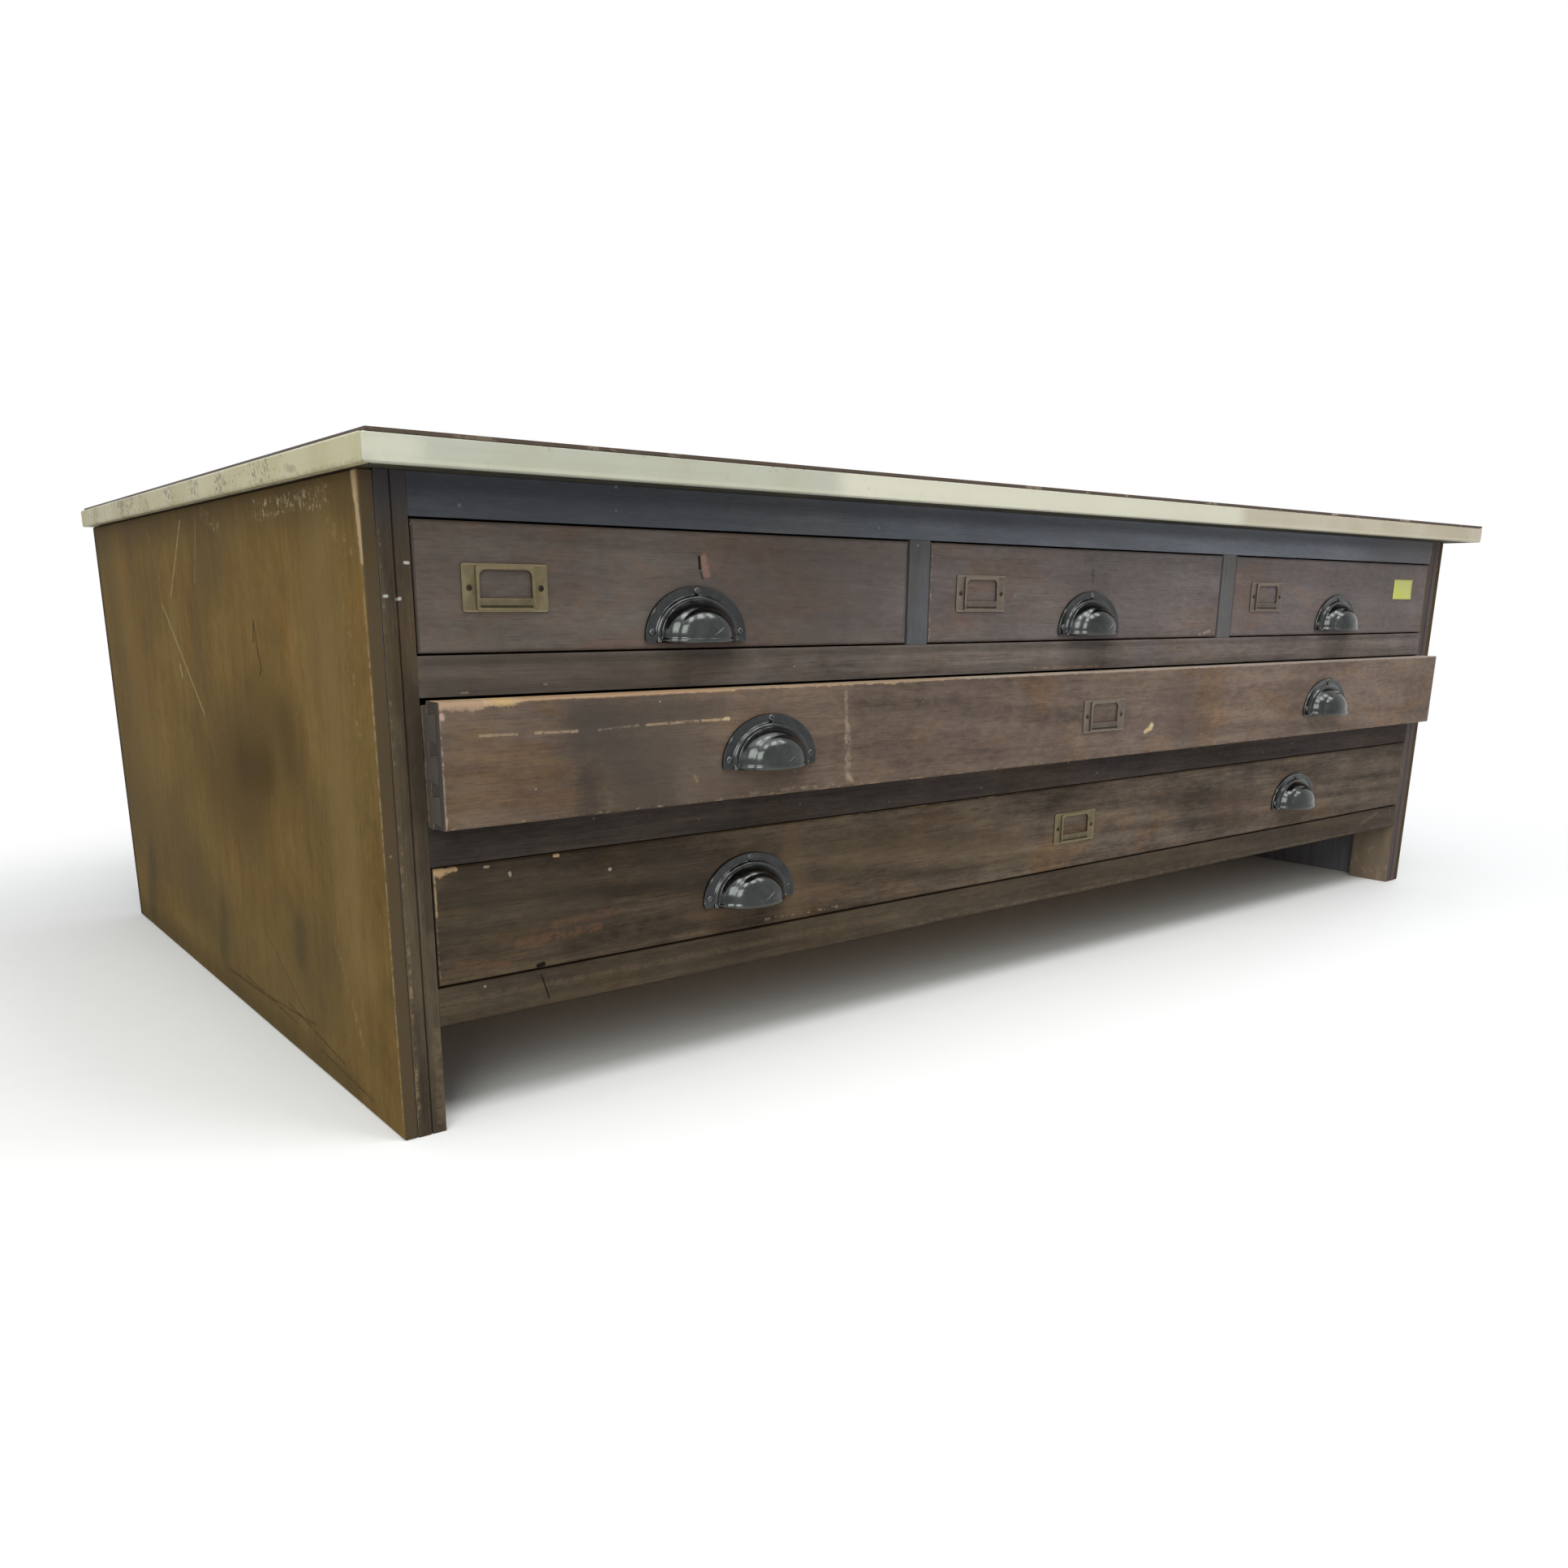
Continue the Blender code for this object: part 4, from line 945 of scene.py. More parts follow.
UPPER_WIDE_MARKS = strokes(
    ((0.155, 0.292), (0.2, 0.248), 0.056, (0.05, 0.042, 0.036), 0.72, 0.5, 0.0, 0.85),
    ((0.142, 0.305), (0.27, 0.308), 0.02, (0.055, 0.045, 0.038), 0.6, 0.5, 0.0, 0.9),
    ((0.215, 0.29), (0.26, 0.25), 0.05, (0.07, 0.056, 0.046), 0.55, 0.5, 0.0, 0.9),
    ((0.148, 0.26), (0.15, 0.24), 0.022, (0.034, 0.029, 0.026), 0.55, 0.6, 0.0, 0.9),
    ((0.34, 0.248), (0.26, 0.245), 0.024, (0.085, 0.06, 0.045), 0.4, 0.5, 0.0, 0.9),
    ((0.87, 0.292), (0.93, 0.26), 0.045, (0.085, 0.063, 0.053), 0.35, 0.4, 0.0, 0.95),
    ((1.13, 0.29), (1.135, 0.24), 0.03, (0.085, 0.064, 0.054), 0.35, 0.4, 0.0, 0.95),
    ((0.0345, 0.3204), (0.07, 0.3216), 0.0056, (0.36, 0.245, 0.16), 0.9, 1.1),
    ((0.045, 0.3182), (0.066, 0.3186), 0.0046, (0.33, 0.225, 0.15), 0.7, 1.3, 0.42),
    ((0.07, 0.3214), (0.096, 0.3218), 0.0048, (0.4, 0.28, 0.165), 0.9, 1.1),
    ((0.079, 0.3206), (0.088, 0.3206), 0.0064, (0.42, 0.285, 0.14), 0.92, 1.2),
    # Pale line along the top edge: worn wood, and towards the right a painted highlight
    ((0.097, 0.3224), (0.285, 0.3227), 0.0034, TAN, 0.88, 0.7),
    ((0.285, 0.3231), (0.55, 0.3231), 0.0028, (0.33, 0.24, 0.165), 0.85, 0.8),
    ((0.55, 0.323), (0.92, 0.323), 0.003, (0.34, 0.28, 0.225), 0.88, 0.8),
    ((0.92, 0.323), (1.485, 0.323), 0.003, (0.34, 0.285, 0.25), 0.85, 0.9, 0.3),
    ((0.0366, 0.3128), (0.0366, 0.312), 0.004, (0.38, 0.27, 0.22), 0.85, 0.9),
    ((0.0345, 0.312), (0.035, 0.236), 0.0022, (0.27, 0.235, 0.19), 0.75, 1.0, 0.5),
    ((0.0345, 0.242), (0.0345, 0.235), 0.0034, (0.27, 0.215, 0.14), 0.7, 1.0),
    ((0.064, 0.2984), (0.092, 0.2978), 0.0018, (0.27, 0.2, 0.13), 0.75, 1.0, 0.44),
    ((0.107, 0.2978), (0.141, 0.2972), 0.0019, (0.28, 0.205, 0.135), 0.75, 1.0, 0.44),
    ((0.159, 0.2972), (0.194, 0.2984), 0.0015, (0.22, 0.165, 0.12), 0.65, 1.0, 0.46),
    ((0.201, 0.2986), (0.249, 0.299), 0.0019, (0.29, 0.21, 0.14), 0.75, 1.0, 0.45),
    ((0.253, 0.299), (0.274, 0.299), 0.002, (0.34, 0.235, 0.15), 0.85, 1.0, 0.42),
    ((0.2752, 0.2992), (0.279, 0.2992), 0.0024, (0.43, 0.33, 0.22), 0.9, 1.3),
    ((0.4036, 0.315), (0.406, 0.27), 0.0036, (0.225, 0.172, 0.125), 0.78, 1.4, 0.46),
    ((0.406, 0.286), (0.4085, 0.24), 0.006, (0.23, 0.178, 0.128), 0.72, 1.4, 0.49),
    ((0.408, 0.244), (0.413, 0.239), 0.003, (0.28, 0.225, 0.17), 0.55, 1.5, 0.46),
    ((0.8441, 0.2628), (0.843, 0.2612), 0.0064, (0.5, 0.4, 0.24), 0.98, 0.6),
    ((0.843, 0.26), (0.8331, 0.2572), 0.0042, (0.48, 0.37, 0.2), 0.95, 0.8),
    ((0.04, 0.235), (1.48, 0.235), 0.0022, (0.3, 0.225, 0.15), 0.6, 1.0, 0.57),
    ((0.3, 0.248), (0.73, 0.256), 0.009, (0.2, 0.145, 0.095), 0.35, 1.2, 0.62),
    ((0.245, 0.256), (0.248, 0.252), 0.0034, (0.27, 0.2, 0.13), 0.45, 1.5, 0.48),
    ((0.299, 0.237), (0.39, 0.237), 0.003, (0.25, 0.205, 0.15), 0.45, 1.1, 0.53),
)
LOWER_WIDE_MARKS = strokes(
    ((0.06, 0.17), (0.15, 0.16), 0.06, (0.04, 0.033, 0.024), 0.5, 0.4, 0.0, 0.95),
    ((0.1, 0.136), (0.17, 0.139), 0.007, RED_BROWN, 0.6, 0.9, 0.46),
    ((0.13, 0.146), (0.19, 0.15), 0.006, RED_BROWN, 0.5, 0.9, 0.48),
    ((0.05, 0.128), (0.09, 0.122), 0.005, RED_BROWN, 0.5, 0.9, 0.46),
    ((0.26, 0.135), (0.42, 0.136), 0.012, (0.1, 0.062, 0.036), 0.45, 0.9, 0.0, 0.9),
    ((0.42, 0.17), (0.66, 0.15), 0.04, (0.115, 0.08, 0.045), 0.35, 0.5, 0.0, 0.95),
    ((0.37, 0.19), (0.37, 0.125), 0.03, (0.12, 0.082, 0.046), 0.4, 0.6, 0.0, 0.95),
    ((0.23, 0.18), (0.265, 0.16), 0.05, (0.03, 0.026, 0.021), 0.5, 0.4, 0.0, 0.95),
    ((0.0346, 0.1994), (0.042, 0.1992), 0.0056, (0.4, 0.26, 0.13), 0.88, 1.5),
    ((0.042, 0.2), (0.052, 0.2002), 0.0032, (0.36, 0.24, 0.125), 0.8, 1.4),
    ((0.0346, 0.199), (0.035, 0.168), 0.0028, (0.36, 0.245, 0.14), 0.8, 0.9, 0.44),
    ((0.0346, 0.168), (0.035, 0.118), 0.002, (0.22, 0.155, 0.095), 0.65, 0.9, 0.52),
    ((0.133, 0.2006), (0.1365, 0.2006), 0.0022, (0.42, 0.285, 0.165), 0.9, 0.7),
    ((0.1816, 0.184), (0.1824, 0.1838), 0.0024, (0.34, 0.285, 0.21), 0.75, 0.8),
    ((0.095, 0.1919), (0.0955, 0.1904), 0.0024, (0.34, 0.285, 0.21), 0.7, 0.8),
    ((0.075, 0.199), (0.078, 0.199), 0.002, (0.36, 0.285, 0.19), 0.65, 0.8),
    ((0.116, 0.116), (0.12, 0.1164), 0.004, (0.006, 0.005, 0.004), 1.0, 0.6),
    ((0.33, 0.119), (0.43, 0.1182), 0.0024, (0.3, 0.215, 0.135), 0.6, 1.0, 0.55),
    ((1.03, 0.156), (1.1, 0.15), 0.035, (0.11, 0.066, 0.048), 0.35, 0.6, 0.0, 0.95),
)
BOTTOM_RAIL_MARKS = strokes(
    ((0.04, 0.1), (0.5, 0.098), 0.005, (0.1, 0.072, 0.044), 0.4, 1.0, 0.48),
    ((0.5, 0.086), (1.48, 0.086), 0.0026, (0.13, 0.096, 0.066), 0.5, 1.0, 0.51),
    ((0.118, 0.108), (0.124, 0.088), 0.0013, CRACK, 0.95, 0.6),
    ((1.39, 0.096), (1.43, 0.106), 0.005, (0.15, 0.115, 0.088), 0.45, 1.2, 0.47),
)
LEFT_STRIP_MARKS = strokes(
    ((0.11, 0.48), (0.09, 0.477), 0.005, (0.22, 0.17, 0.085), 0.7, 1.0, 0.44),
    ((0.36, 0.48), (0.35, 0.488), 0.004, (0.22, 0.16, 0.075), 0.65, 1.0, 0.44),
    ((0.54, 0.483), (0.53, 0.475), 0.0044, (0.2, 0.14, 0.065), 0.7, 1.0, 0.44),
    ((-0.03, 0.4915), (0.8, 0.4915), 0.004, (0.54, 0.52, 0.4), 0.6, 0.8),
    ((-0.036, 0.474), (0.82, 0.474), 0.0026, (0.24, 0.19, 0.1), 0.5, 1.0, 0.5),
)
FRONT_STRIP_MARKS = strokes(
    # Painted highlight along the strip's lower edge
    ((0.0, 0.4748), (1.54, 0.4748), 0.003, (0.6, 0.57, 0.44), 0.2, 0.5),
    ((-0.02, 0.483), (0.02, 0.483), 0.02, (0.58, 0.57, 0.46), 0.45, 0.6, 0.0, 0.9),
    ((-0.01, 0.491), (0.45, 0.491), 0.0018, (0.3, 0.29, 0.24), 0.35, 0.9, 0.5),
    ((0.45, 0.4912), (1.54, 0.4912), 0.002, (0.14, 0.095, 0.065), 0.65, 1.2, 0.52),
    ((0.4, 0.483), (0.95, 0.483), 0.03, (0.59, 0.575, 0.465), 0.8, 0.3, 0.0, 0.95),
    ((0.7, 0.482), (0.71, 0.482), 0.0028, (0.56, 0.5, 0.34), 0.4, 1.0),
)


def assign(node: str, material: bpy.types.Material) -> None:
    """Give a carried-over node its material.

    Args:
        node: the node's name.
        material: the material for all of its surface.
    """
    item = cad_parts[node]
    if not item.material_slots:
        item.data.materials.append(material)
    for slot in item.material_slots:
        slot.material = material


def new_piece(
    name: str, shape: bmesh.types.BMesh, material: bpy.types.Material, body: str
) -> bpy.types.Object:
    """Turn a bmesh into a smooth piece that rides on a body.

    Args:
        name: the piece's name.
        shape: the bmesh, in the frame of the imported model, which is freed.
        material: the piece's material.
        body: the body that carries the piece.

    Returns:
        The piece.
    """
    bmesh.ops.recalc_face_normals(shape, faces=shape.faces)
    for face in shape.faces:
        face.smooth = True
    mesh = bpy.data.meshes.new(name)
    shape.to_mesh(mesh)
    shape.free()
    mesh.materials.append(material)
    piece = bpy.data.objects.new(name, mesh)
    bpy.context.scene.collection.objects.link(piece)
    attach(piece, body)
    log.info("%s: %d faces on %s", name, len(mesh.polygons), body)
    return piece


def modify(piece: bpy.types.Object, kind: str, **settings: "float | int | str") -> None:
    """Give a piece a modifier.

    Args:
        piece: the piece.
        kind: the modifier's type.
        settings: the modifier's settings.
    """
    modifier = piece.modifiers.new(kind.lower(), kind)
    for name, value in settings.items():
        setattr(modifier, name, value)


@dataclass(frozen=True)
class ScrewHead:
    """A domed, slotted screw head whose shank is hidden."""

    radius: float = 0.0030
    rise: float = 0.0014
    slot_width: float = 0.0007
    slot_depth: float = 0.0008
    sides: int = 24
    # From the crown to the back: share of the radius, share of the rise
    profile_shares: tuple[Point, ...] = (
        (0.0, 1.0), (0.35, 0.96), (0.66, 0.80), (0.88, 0.50), (1.0, 0.14), (1.0, 0.0), (0.0, 0.0),
    )

    def add(self, shape: bmesh.types.BMesh, centre: Vector, turn: float) -> None:
        """Add the head to a bmesh, facing the cabinet's front.

        Args:
            shape: the bmesh.
            centre: the middle of the head's flat back.
            turn: angle of the slot, in radians.
        """
        head = bmesh.new()
        points = [
            head.verts.new((self.radius * across, 0.0, self.rise * up))
            for across, up in self.profile_shares
        ]
        edges = [head.edges.new(pair) for pair in zip(points, points[1:])]
        bmesh.ops.spin(
            head, geom=points + edges, cent=(0, 0, 0), axis=(0, 0, 1), angle=math.tau,
            steps=self.sides, use_merge=True,
        )
        bmesh.ops.remove_doubles(head, verts=head.verts, dist=WELD)
        half = self.slot_width / 2
        for side in (-half, half):
            bmesh.ops.bisect_plane(
                head, geom=head.verts[:] + head.edges[:] + head.faces[:], dist=0.000001,
                plane_co=(side, 0, 0), plane_no=(1, 0, 0),
            )
        middles = {face: face.calc_center_median() for face in head.faces}
        strip = [
            face
            for face, middle in middles.items()
            if abs(middle.x) < half and middle.z > WELD
        ]
        raised = bmesh.ops.extrude_face_region(head, geom=strip)
        for vert in raised["geom"]:
            if isinstance(vert, bmesh.types.BMVert):
                floor = max(self.rise - self.slot_depth, vert.co.z - self.slot_depth)
                vert.co.z = min(vert.co.z, floor)
        gone = [face for face in strip if face.is_valid]
        bmesh.ops.delete(head, geom=gone, context="FACES_ONLY")
        turned = Matrix.Rotation(math.pi / 2, 4, "X") @ Matrix.Rotation(turn, 4, "Z")
        place = Matrix.Translation(centre) @ turned
        bmesh.ops.transform(head, matrix=place, verts=head.verts)
        mesh = bpy.data.meshes.new("screw_head")
        head.to_mesh(mesh)
        head.free()
        shape.from_mesh(mesh)
        bpy.data.meshes.remove(mesh)


@dataclass
class CupPull:
    """A pressed cup pull, open below, with a bead, a stepped ring and a lip."""

    node: str
    body: str
    seed: int
    width: float = 0.0975
    arch: float = 0.0381
    lip: float = 0.0050
    depth: float = 0.0245
    wall: float = 0.0013
    bevel: float = 0.00035
    steps: int = 64
    flange_share: float = 0.080
    ear_share: float = 0.985
    ear_lift_share: float = 0.45
    lip_from_share: float = 0.80
    screw_across: float = 0.0425
    screw_rise: float = 0.0030
    top_screw_share: float = 0.905
    screw: ScrewHead = ScrewHead()
    # Outer surface from the rim to the crown: share of the radius, share of the depth
    profile_shares: tuple[Point, ...] = (
        (1.000, 0.015), (0.998, 0.055), (0.990, 0.084), (0.972, 0.090), (0.940, 0.080),
        (0.880, 0.073), (0.838, 0.073), (0.818, 0.086), (0.804, 0.124), (0.790, 0.162),
        (0.772, 0.184), (0.755, 0.188), (0.741, 0.182), (0.729, 0.174), (0.719, 0.182),
        (0.710, 0.208), (0.700, 0.248), (0.687, 0.300), (0.670, 0.358), (0.650, 0.416),
        (0.627, 0.470), (0.603, 0.517), (0.580, 0.553), (0.564, 0.578), (0.552, 0.604),
        (0.537, 0.644), (0.514, 0.698), (0.480, 0.757), (0.436, 0.815), (0.380, 0.869),
        (0.311, 0.917), (0.232, 0.956), (0.150, 0.983), (0.070, 0.997), (0.000, 1.000),
    )
    # Rolled lip below the mouth: share of the lip's height, and how far it stands out
    lip_roll: tuple[Point, ...] = (
        (0.16, -0.00005), (0.30, 0.00025), (0.44, 0.00070), (0.60, 0.00092), (0.76, 0.00088),
        (0.90, 0.00055), (1.00, 0.00010),
    )

    def build(self, metal: bpy.types.Material, steel: bpy.types.Material) -> None:
        """Build the pull and its three screws.

        Args:
            metal: the pull's material.
            steel: the screws' material.
        """
        low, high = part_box(self.node)
        mouth = Vector(((low.x + high.x) / 2, high.y, low.z + self.lip))
        pull = new_piece(self.node + "_fine", self._shell(mouth), metal, self.body)
        modify(pull, "SOLIDIFY", thickness=self.wall, offset=-1.0)
        modify(
            pull, "BEVEL", width=self.bevel, segments=2, limit_method="ANGLE",
            angle_limit=math.radians(40.0),
        )
        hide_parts(self.node)
        source = random.Random(self.seed)
        heads = bmesh.new()
        for across, rise in (
            (-self.screw_across, self.screw_rise),
            (self.screw_across, self.screw_rise),
            (0.0, self.arch * self.top_screw_share),
        ):
            centre = mouth + Vector((across, -self.depth * self.flange_share, rise))
            self.screw.add(heads, centre, source.uniform(0.0, math.pi))
        screws = new_piece(self.node + "_screws", heads, steel, self.body)

    def _shell(self, mouth: Vector) -> bmesh.types.BMesh:
        """Return the outer surface of the pull as an open shell."""
        shape = bmesh.new()
        half = self.width / 2
        points = [
            shape.verts.new((share * half, -rise_share * self.depth, 0.0))
            for share, rise_share in self.profile_shares
        ]
        edges = [shape.edges.new(pair) for pair in zip(points, points[1:])]
        bmesh.ops.spin(
            shape, geom=points + edges, cent=(0, 0, 0), axis=(0, -1, 0), angle=math.pi,
            steps=self.steps, use_merge=False,
        )
        bmesh.ops.remove_doubles(shape, verts=shape.verts, dist=WELD)
        bmesh.ops.scale(shape, verts=shape.verts, vec=(1, 1, self.arch / half))
        rim = [
            edge
            for edge in shape.edges
            if edge.is_boundary and all(abs(vert.co.z) < 0.0001 for vert in edge.verts)
        ]
        outline = sorted({(vert.co.x, vert.co.y) for edge in rim for vert in edge.verts})
        for drop_share, _ in self.lip_roll:
            band = bmesh.ops.extrude_edge_only(shape, edges=rim)
            rim = [part for part in band["geom"] if isinstance(part, bmesh.types.BMEdge)]
            for vert in {vert for edge in rim for vert in edge.verts}:
                ear = abs(vert.co.x) > half * self.ear_share
                vert.co.z = -self.lip * drop_share * (1 - (self.ear_lift_share if ear else 0.0))
        self._roll_lip(shape, outline)
        bmesh.ops.recalc_face_normals(shape, faces=shape.faces)
        crown = min(shape.faces, key=lambda item: item.calc_center_median().y)
        if crown.normal.y > 0:
            bmesh.ops.reverse_faces(shape, faces=shape.faces)
        bmesh.ops.translate(shape, verts=shape.verts, vec=mouth)
        return shape

    def _roll_lip(self, shape: bmesh.types.BMesh, outline: Sequence[Point]) -> None:
        """Swell the band below the mouth into a rolled lip.

        Args:
            shape: the shell, whose mouth is at height zero.
            outline: the mouth's curve, from its left end to its right end.
        """
        reach = self.width / 2 * self.lip_from_share
        last = len(outline) - 1
        for vert in shape.verts:
            if vert.co.z > -WELD or abs(vert.co.x) > reach:
                continue
            index = min(range(len(outline)), key=lambda item: math.dist(outline[item], vert.co.xy))
            before, after = outline[max(index - 1, 0)], outline[min(index + 1, last)]
            along = (Vector(after) - Vector(before)).normalized()
            _, swell = min(self.lip_roll, key=lambda item: abs(item[0] * self.lip + vert.co.z))
            vert.co.x += along.y * swell
            vert.co.y -= along.x * swell


@dataclass
class CardHolder:
    """The screws of a card holder, whose frame is carried over."""

    node: str
    body: str
    seed: int
    inset: float = 0.0055
    flange: float = 0.0009
    screw: ScrewHead = ScrewHead(radius=0.0023, rise=0.0007, slot_width=0.0005, slot_depth=0.0004)

    def build(self, steel: bpy.types.Material) -> None:
        """Build the two screws."""
        low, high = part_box(self.node)
        heads = bmesh.new()
        source = random.Random(self.seed)
        for across in (low.x + self.inset, high.x - self.inset):
            centre = Vector((across, high.y - self.flange, (low.z + high.z) / 2))
            self.screw.add(heads, centre, source.uniform(0.0, math.pi))
        screws = new_piece(self.node + "_screws", heads, steel, self.body)


@dataclass
class Sticker:
    """A plain paper sticker that lies on a drawer front and lifts at one corner."""

    low: Point = (1.3945, 0.3972)
    high: Point = (1.4440, 0.4226)
    thickness: float = 0.00015
    ripple: float = 0.00010
    ripple_waves: Point = (9.0, 4.0)
    lift: float = 0.0016
    lift_from: float = 1.35
    cells: int = 10

    def build(self, paper: bpy.types.Material) -> None:
        """Build the sticker."""
        shape = bmesh.new()
        bmesh.ops.create_grid(shape, x_segments=self.cells, y_segments=self.cells, size=0.5)
        width, height = self.high[0] - self.low[0], self.high[1] - self.low[1]
        for vert in shape.verts:
            across, up = vert.co.x + 0.5, vert.co.y + 0.5
            curl = max(0.0, across + (1.0 - up) - self.lift_from) ** 2
            phase = self.ripple_waves[0] * across + self.ripple_waves[1] * up
            depth = -GAP - self.ripple * (1.0 + math.sin(phase)) - self.lift * curl
            place = (self.low[0] + across * width, depth, self.low[1] + up * height)
            vert.co = CORNER + Vector(place)
        sheet = new_piece("plain_sticker", shape, paper, "top_right_drawer")
        if sheet.data.polygons[0].normal.y > 0:
            sheet.data.flip_normals()
        modify(sheet, "SOLIDIFY", thickness=self.thickness, offset=1.0)


@dataclass
class BackNails:
    """The round nails that hold the back panel."""

    radius: float = 0.0028
    rise: float = 0.0009
    sunk_share: float = 0.4
    inset: float = 0.014
    spacing: float = 0.115

    def build(self, steel: bpy.types.Material) -> None:
        """Build all the nail heads as one piece."""
        low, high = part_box("back_panel")
        left, right = low.x + self.inset, high.x - self.inset
        bottom, top = low.z + self.inset, high.z - self.inset
        across, up = self._row(left, right), self._row(bottom, top)[1:-1]
        places = [(place, level) for level in (bottom, top) for place in across]
        places += [(side, place) for side in (left, right) for place in up]
        heads = bmesh.new()
        squash = Matrix.Diagonal((1.0, 1.0, self.rise / self.radius, 1.0))
        stand = Matrix.Rotation(-math.pi / 2, 4, "X") @ squash
        for place, level in places:
            dome = bmesh.ops.create_uvsphere(
                heads, u_segments=16, v_segments=8, radius=self.radius
            )
            depth = high.y + self.rise * self.sunk_share
            shift = Matrix.Translation((place, depth, level))
            bmesh.ops.transform(heads, matrix=shift @ stand, verts=dome["verts"])
        nails = new_piece("back_nails", heads, steel, "cabinet")

    def _row(self, start: float, end: float) -> list[float]:
        """Return evenly spaced places from start to end, both included."""
        count = round((end - start) / self.spacing)
        return [start + (end - start) * index / count for index in range(count + 1)]


@dataclass(frozen=True)
class Board:
    """A wooden piece of the cabinet's body, and how it looks."""

    node: str
    finish: WoodFinish
    seed: int
    grain: Grain
    face: Face = Face.FRONT
    edges_worn: bool = False
    marks: tuple[Stroke, ...] = ()
    # Painted sheen: what the colour is multiplied by towards the right end
    painted_sheen_right: Optional[Colour] = None
    bare: "tuple[int, float, float] | None" = None

    def dress(self) -> None:
        """Give the piece its material."""
        edges = box(self.node) if self.edges_worn else None
        assign(self.node, self.finish.build(
            self.node + "_wood", self.seed, self.grain, self.face, edges, self.marks,
            self.painted_sheen_right, self.bare,
        ))


# Painted sheen of the dividers, lighter towards the right end
DIVIDER_SHEEN = (2.3, 2.1, 1.9)
# Where the side panels' finish ends, just inside their outer faces
LEFT_BARE, RIGHT_BARE = (X, 0.0096, 0.0102), (X, 1.5104, 1.5098)
# A colour after a board's marks is painted sheen: what its colour is multiplied by towards the
# right end
BOARDS = (
    Board("left_side_panel", OLIVE_SIDE, 20, Grain.ALONG_Z, Face.SIDE, True, LEFT_SIDE_MARKS,
          None, LEFT_BARE),
    Board("right_side_panel", OLIVE_SIDE, 21, Grain.ALONG_Z, Face.SIDE, True, (), None, RIGHT_BARE),
    Board("left_front_post", POST, 31, Grain.ALONG_Z, Face.FRONT, True, LEFT_POST_MARKS),
    Board("right_front_post", RIGHT_POST, 32, Grain.ALONG_Z, Face.FRONT, True),
    Board("top_rail", TOP_RAIL, 33, Grain.ALONG_X, Face.FRONT, False, TOP_RAIL_MARKS,
          (3.30, 3.25, 3.20)),
    Board("upper_rail", FRAME, 34, Grain.ALONG_X, Face.FRONT, False, UPPER_RAIL_MARKS,
          (1.75, 1.75, 2.00)),
    Board("middle_rail", SHADED_MIDDLE_RAIL, 35, Grain.ALONG_X, Face.FRONT, False, (), (1.40, 1.38, 1.44)),
    Board("bottom_rail", FOOT_RAIL, 36, Grain.ALONG_X, Face.FRONT, False, BOTTOM_RAIL_MARKS,
          (1.12, 1.14, 1.22)),
    Board("left_divider", TOP_RAIL, 37, Grain.ALONG_Z, Face.FRONT, False, (), DIVIDER_SHEEN),
    Board("right_divider", TOP_RAIL, 38, Grain.ALONG_Z, Face.FRONT, False, (), DIVIDER_SHEEN),
    Board("left_runner_frame", CARCASS_INNER, 50, Grain.ALONG_Y),
    Board("right_runner_frame", CARCASS_INNER, 51, Grain.ALONG_Y),
    Board("left_centre_runner", CARCASS_INNER, 52, Grain.ALONG_Y),
    Board("right_centre_runner", CARCASS_INNER, 53, Grain.ALONG_Y),
    Board("upper_back_rail", CARCASS_INNER, 55, Grain.ALONG_X),
    Board("back_panel", BACK, 56, Grain.ALONG_X, Face.FRONT, True),
    Board("top_board", UNDERSIDE, 60, Grain.ALONG_X),
)


def dress_top() -> None:
    """Dress the painted edge strips and the covering of the top."""
    for node, paint, seed, face, marks in (
        ("front_edge_strip", SAGE, 61, Face.FRONT, FRONT_STRIP_MARKS),
        ("left_edge_strip", CREAM, 62, Face.SIDE, LEFT_STRIP_MARKS),
        ("right_edge_strip", CREAM, 63, Face.SIDE, ()),
        ("back_edge_strip", CREAM, 64, Face.FRONT, ()),
    ):
        assign(node, paint.build(node + "_paint", seed, face, marks))
    assign("top_covering", CoveringFinish().build("top_covering_finish", 11))


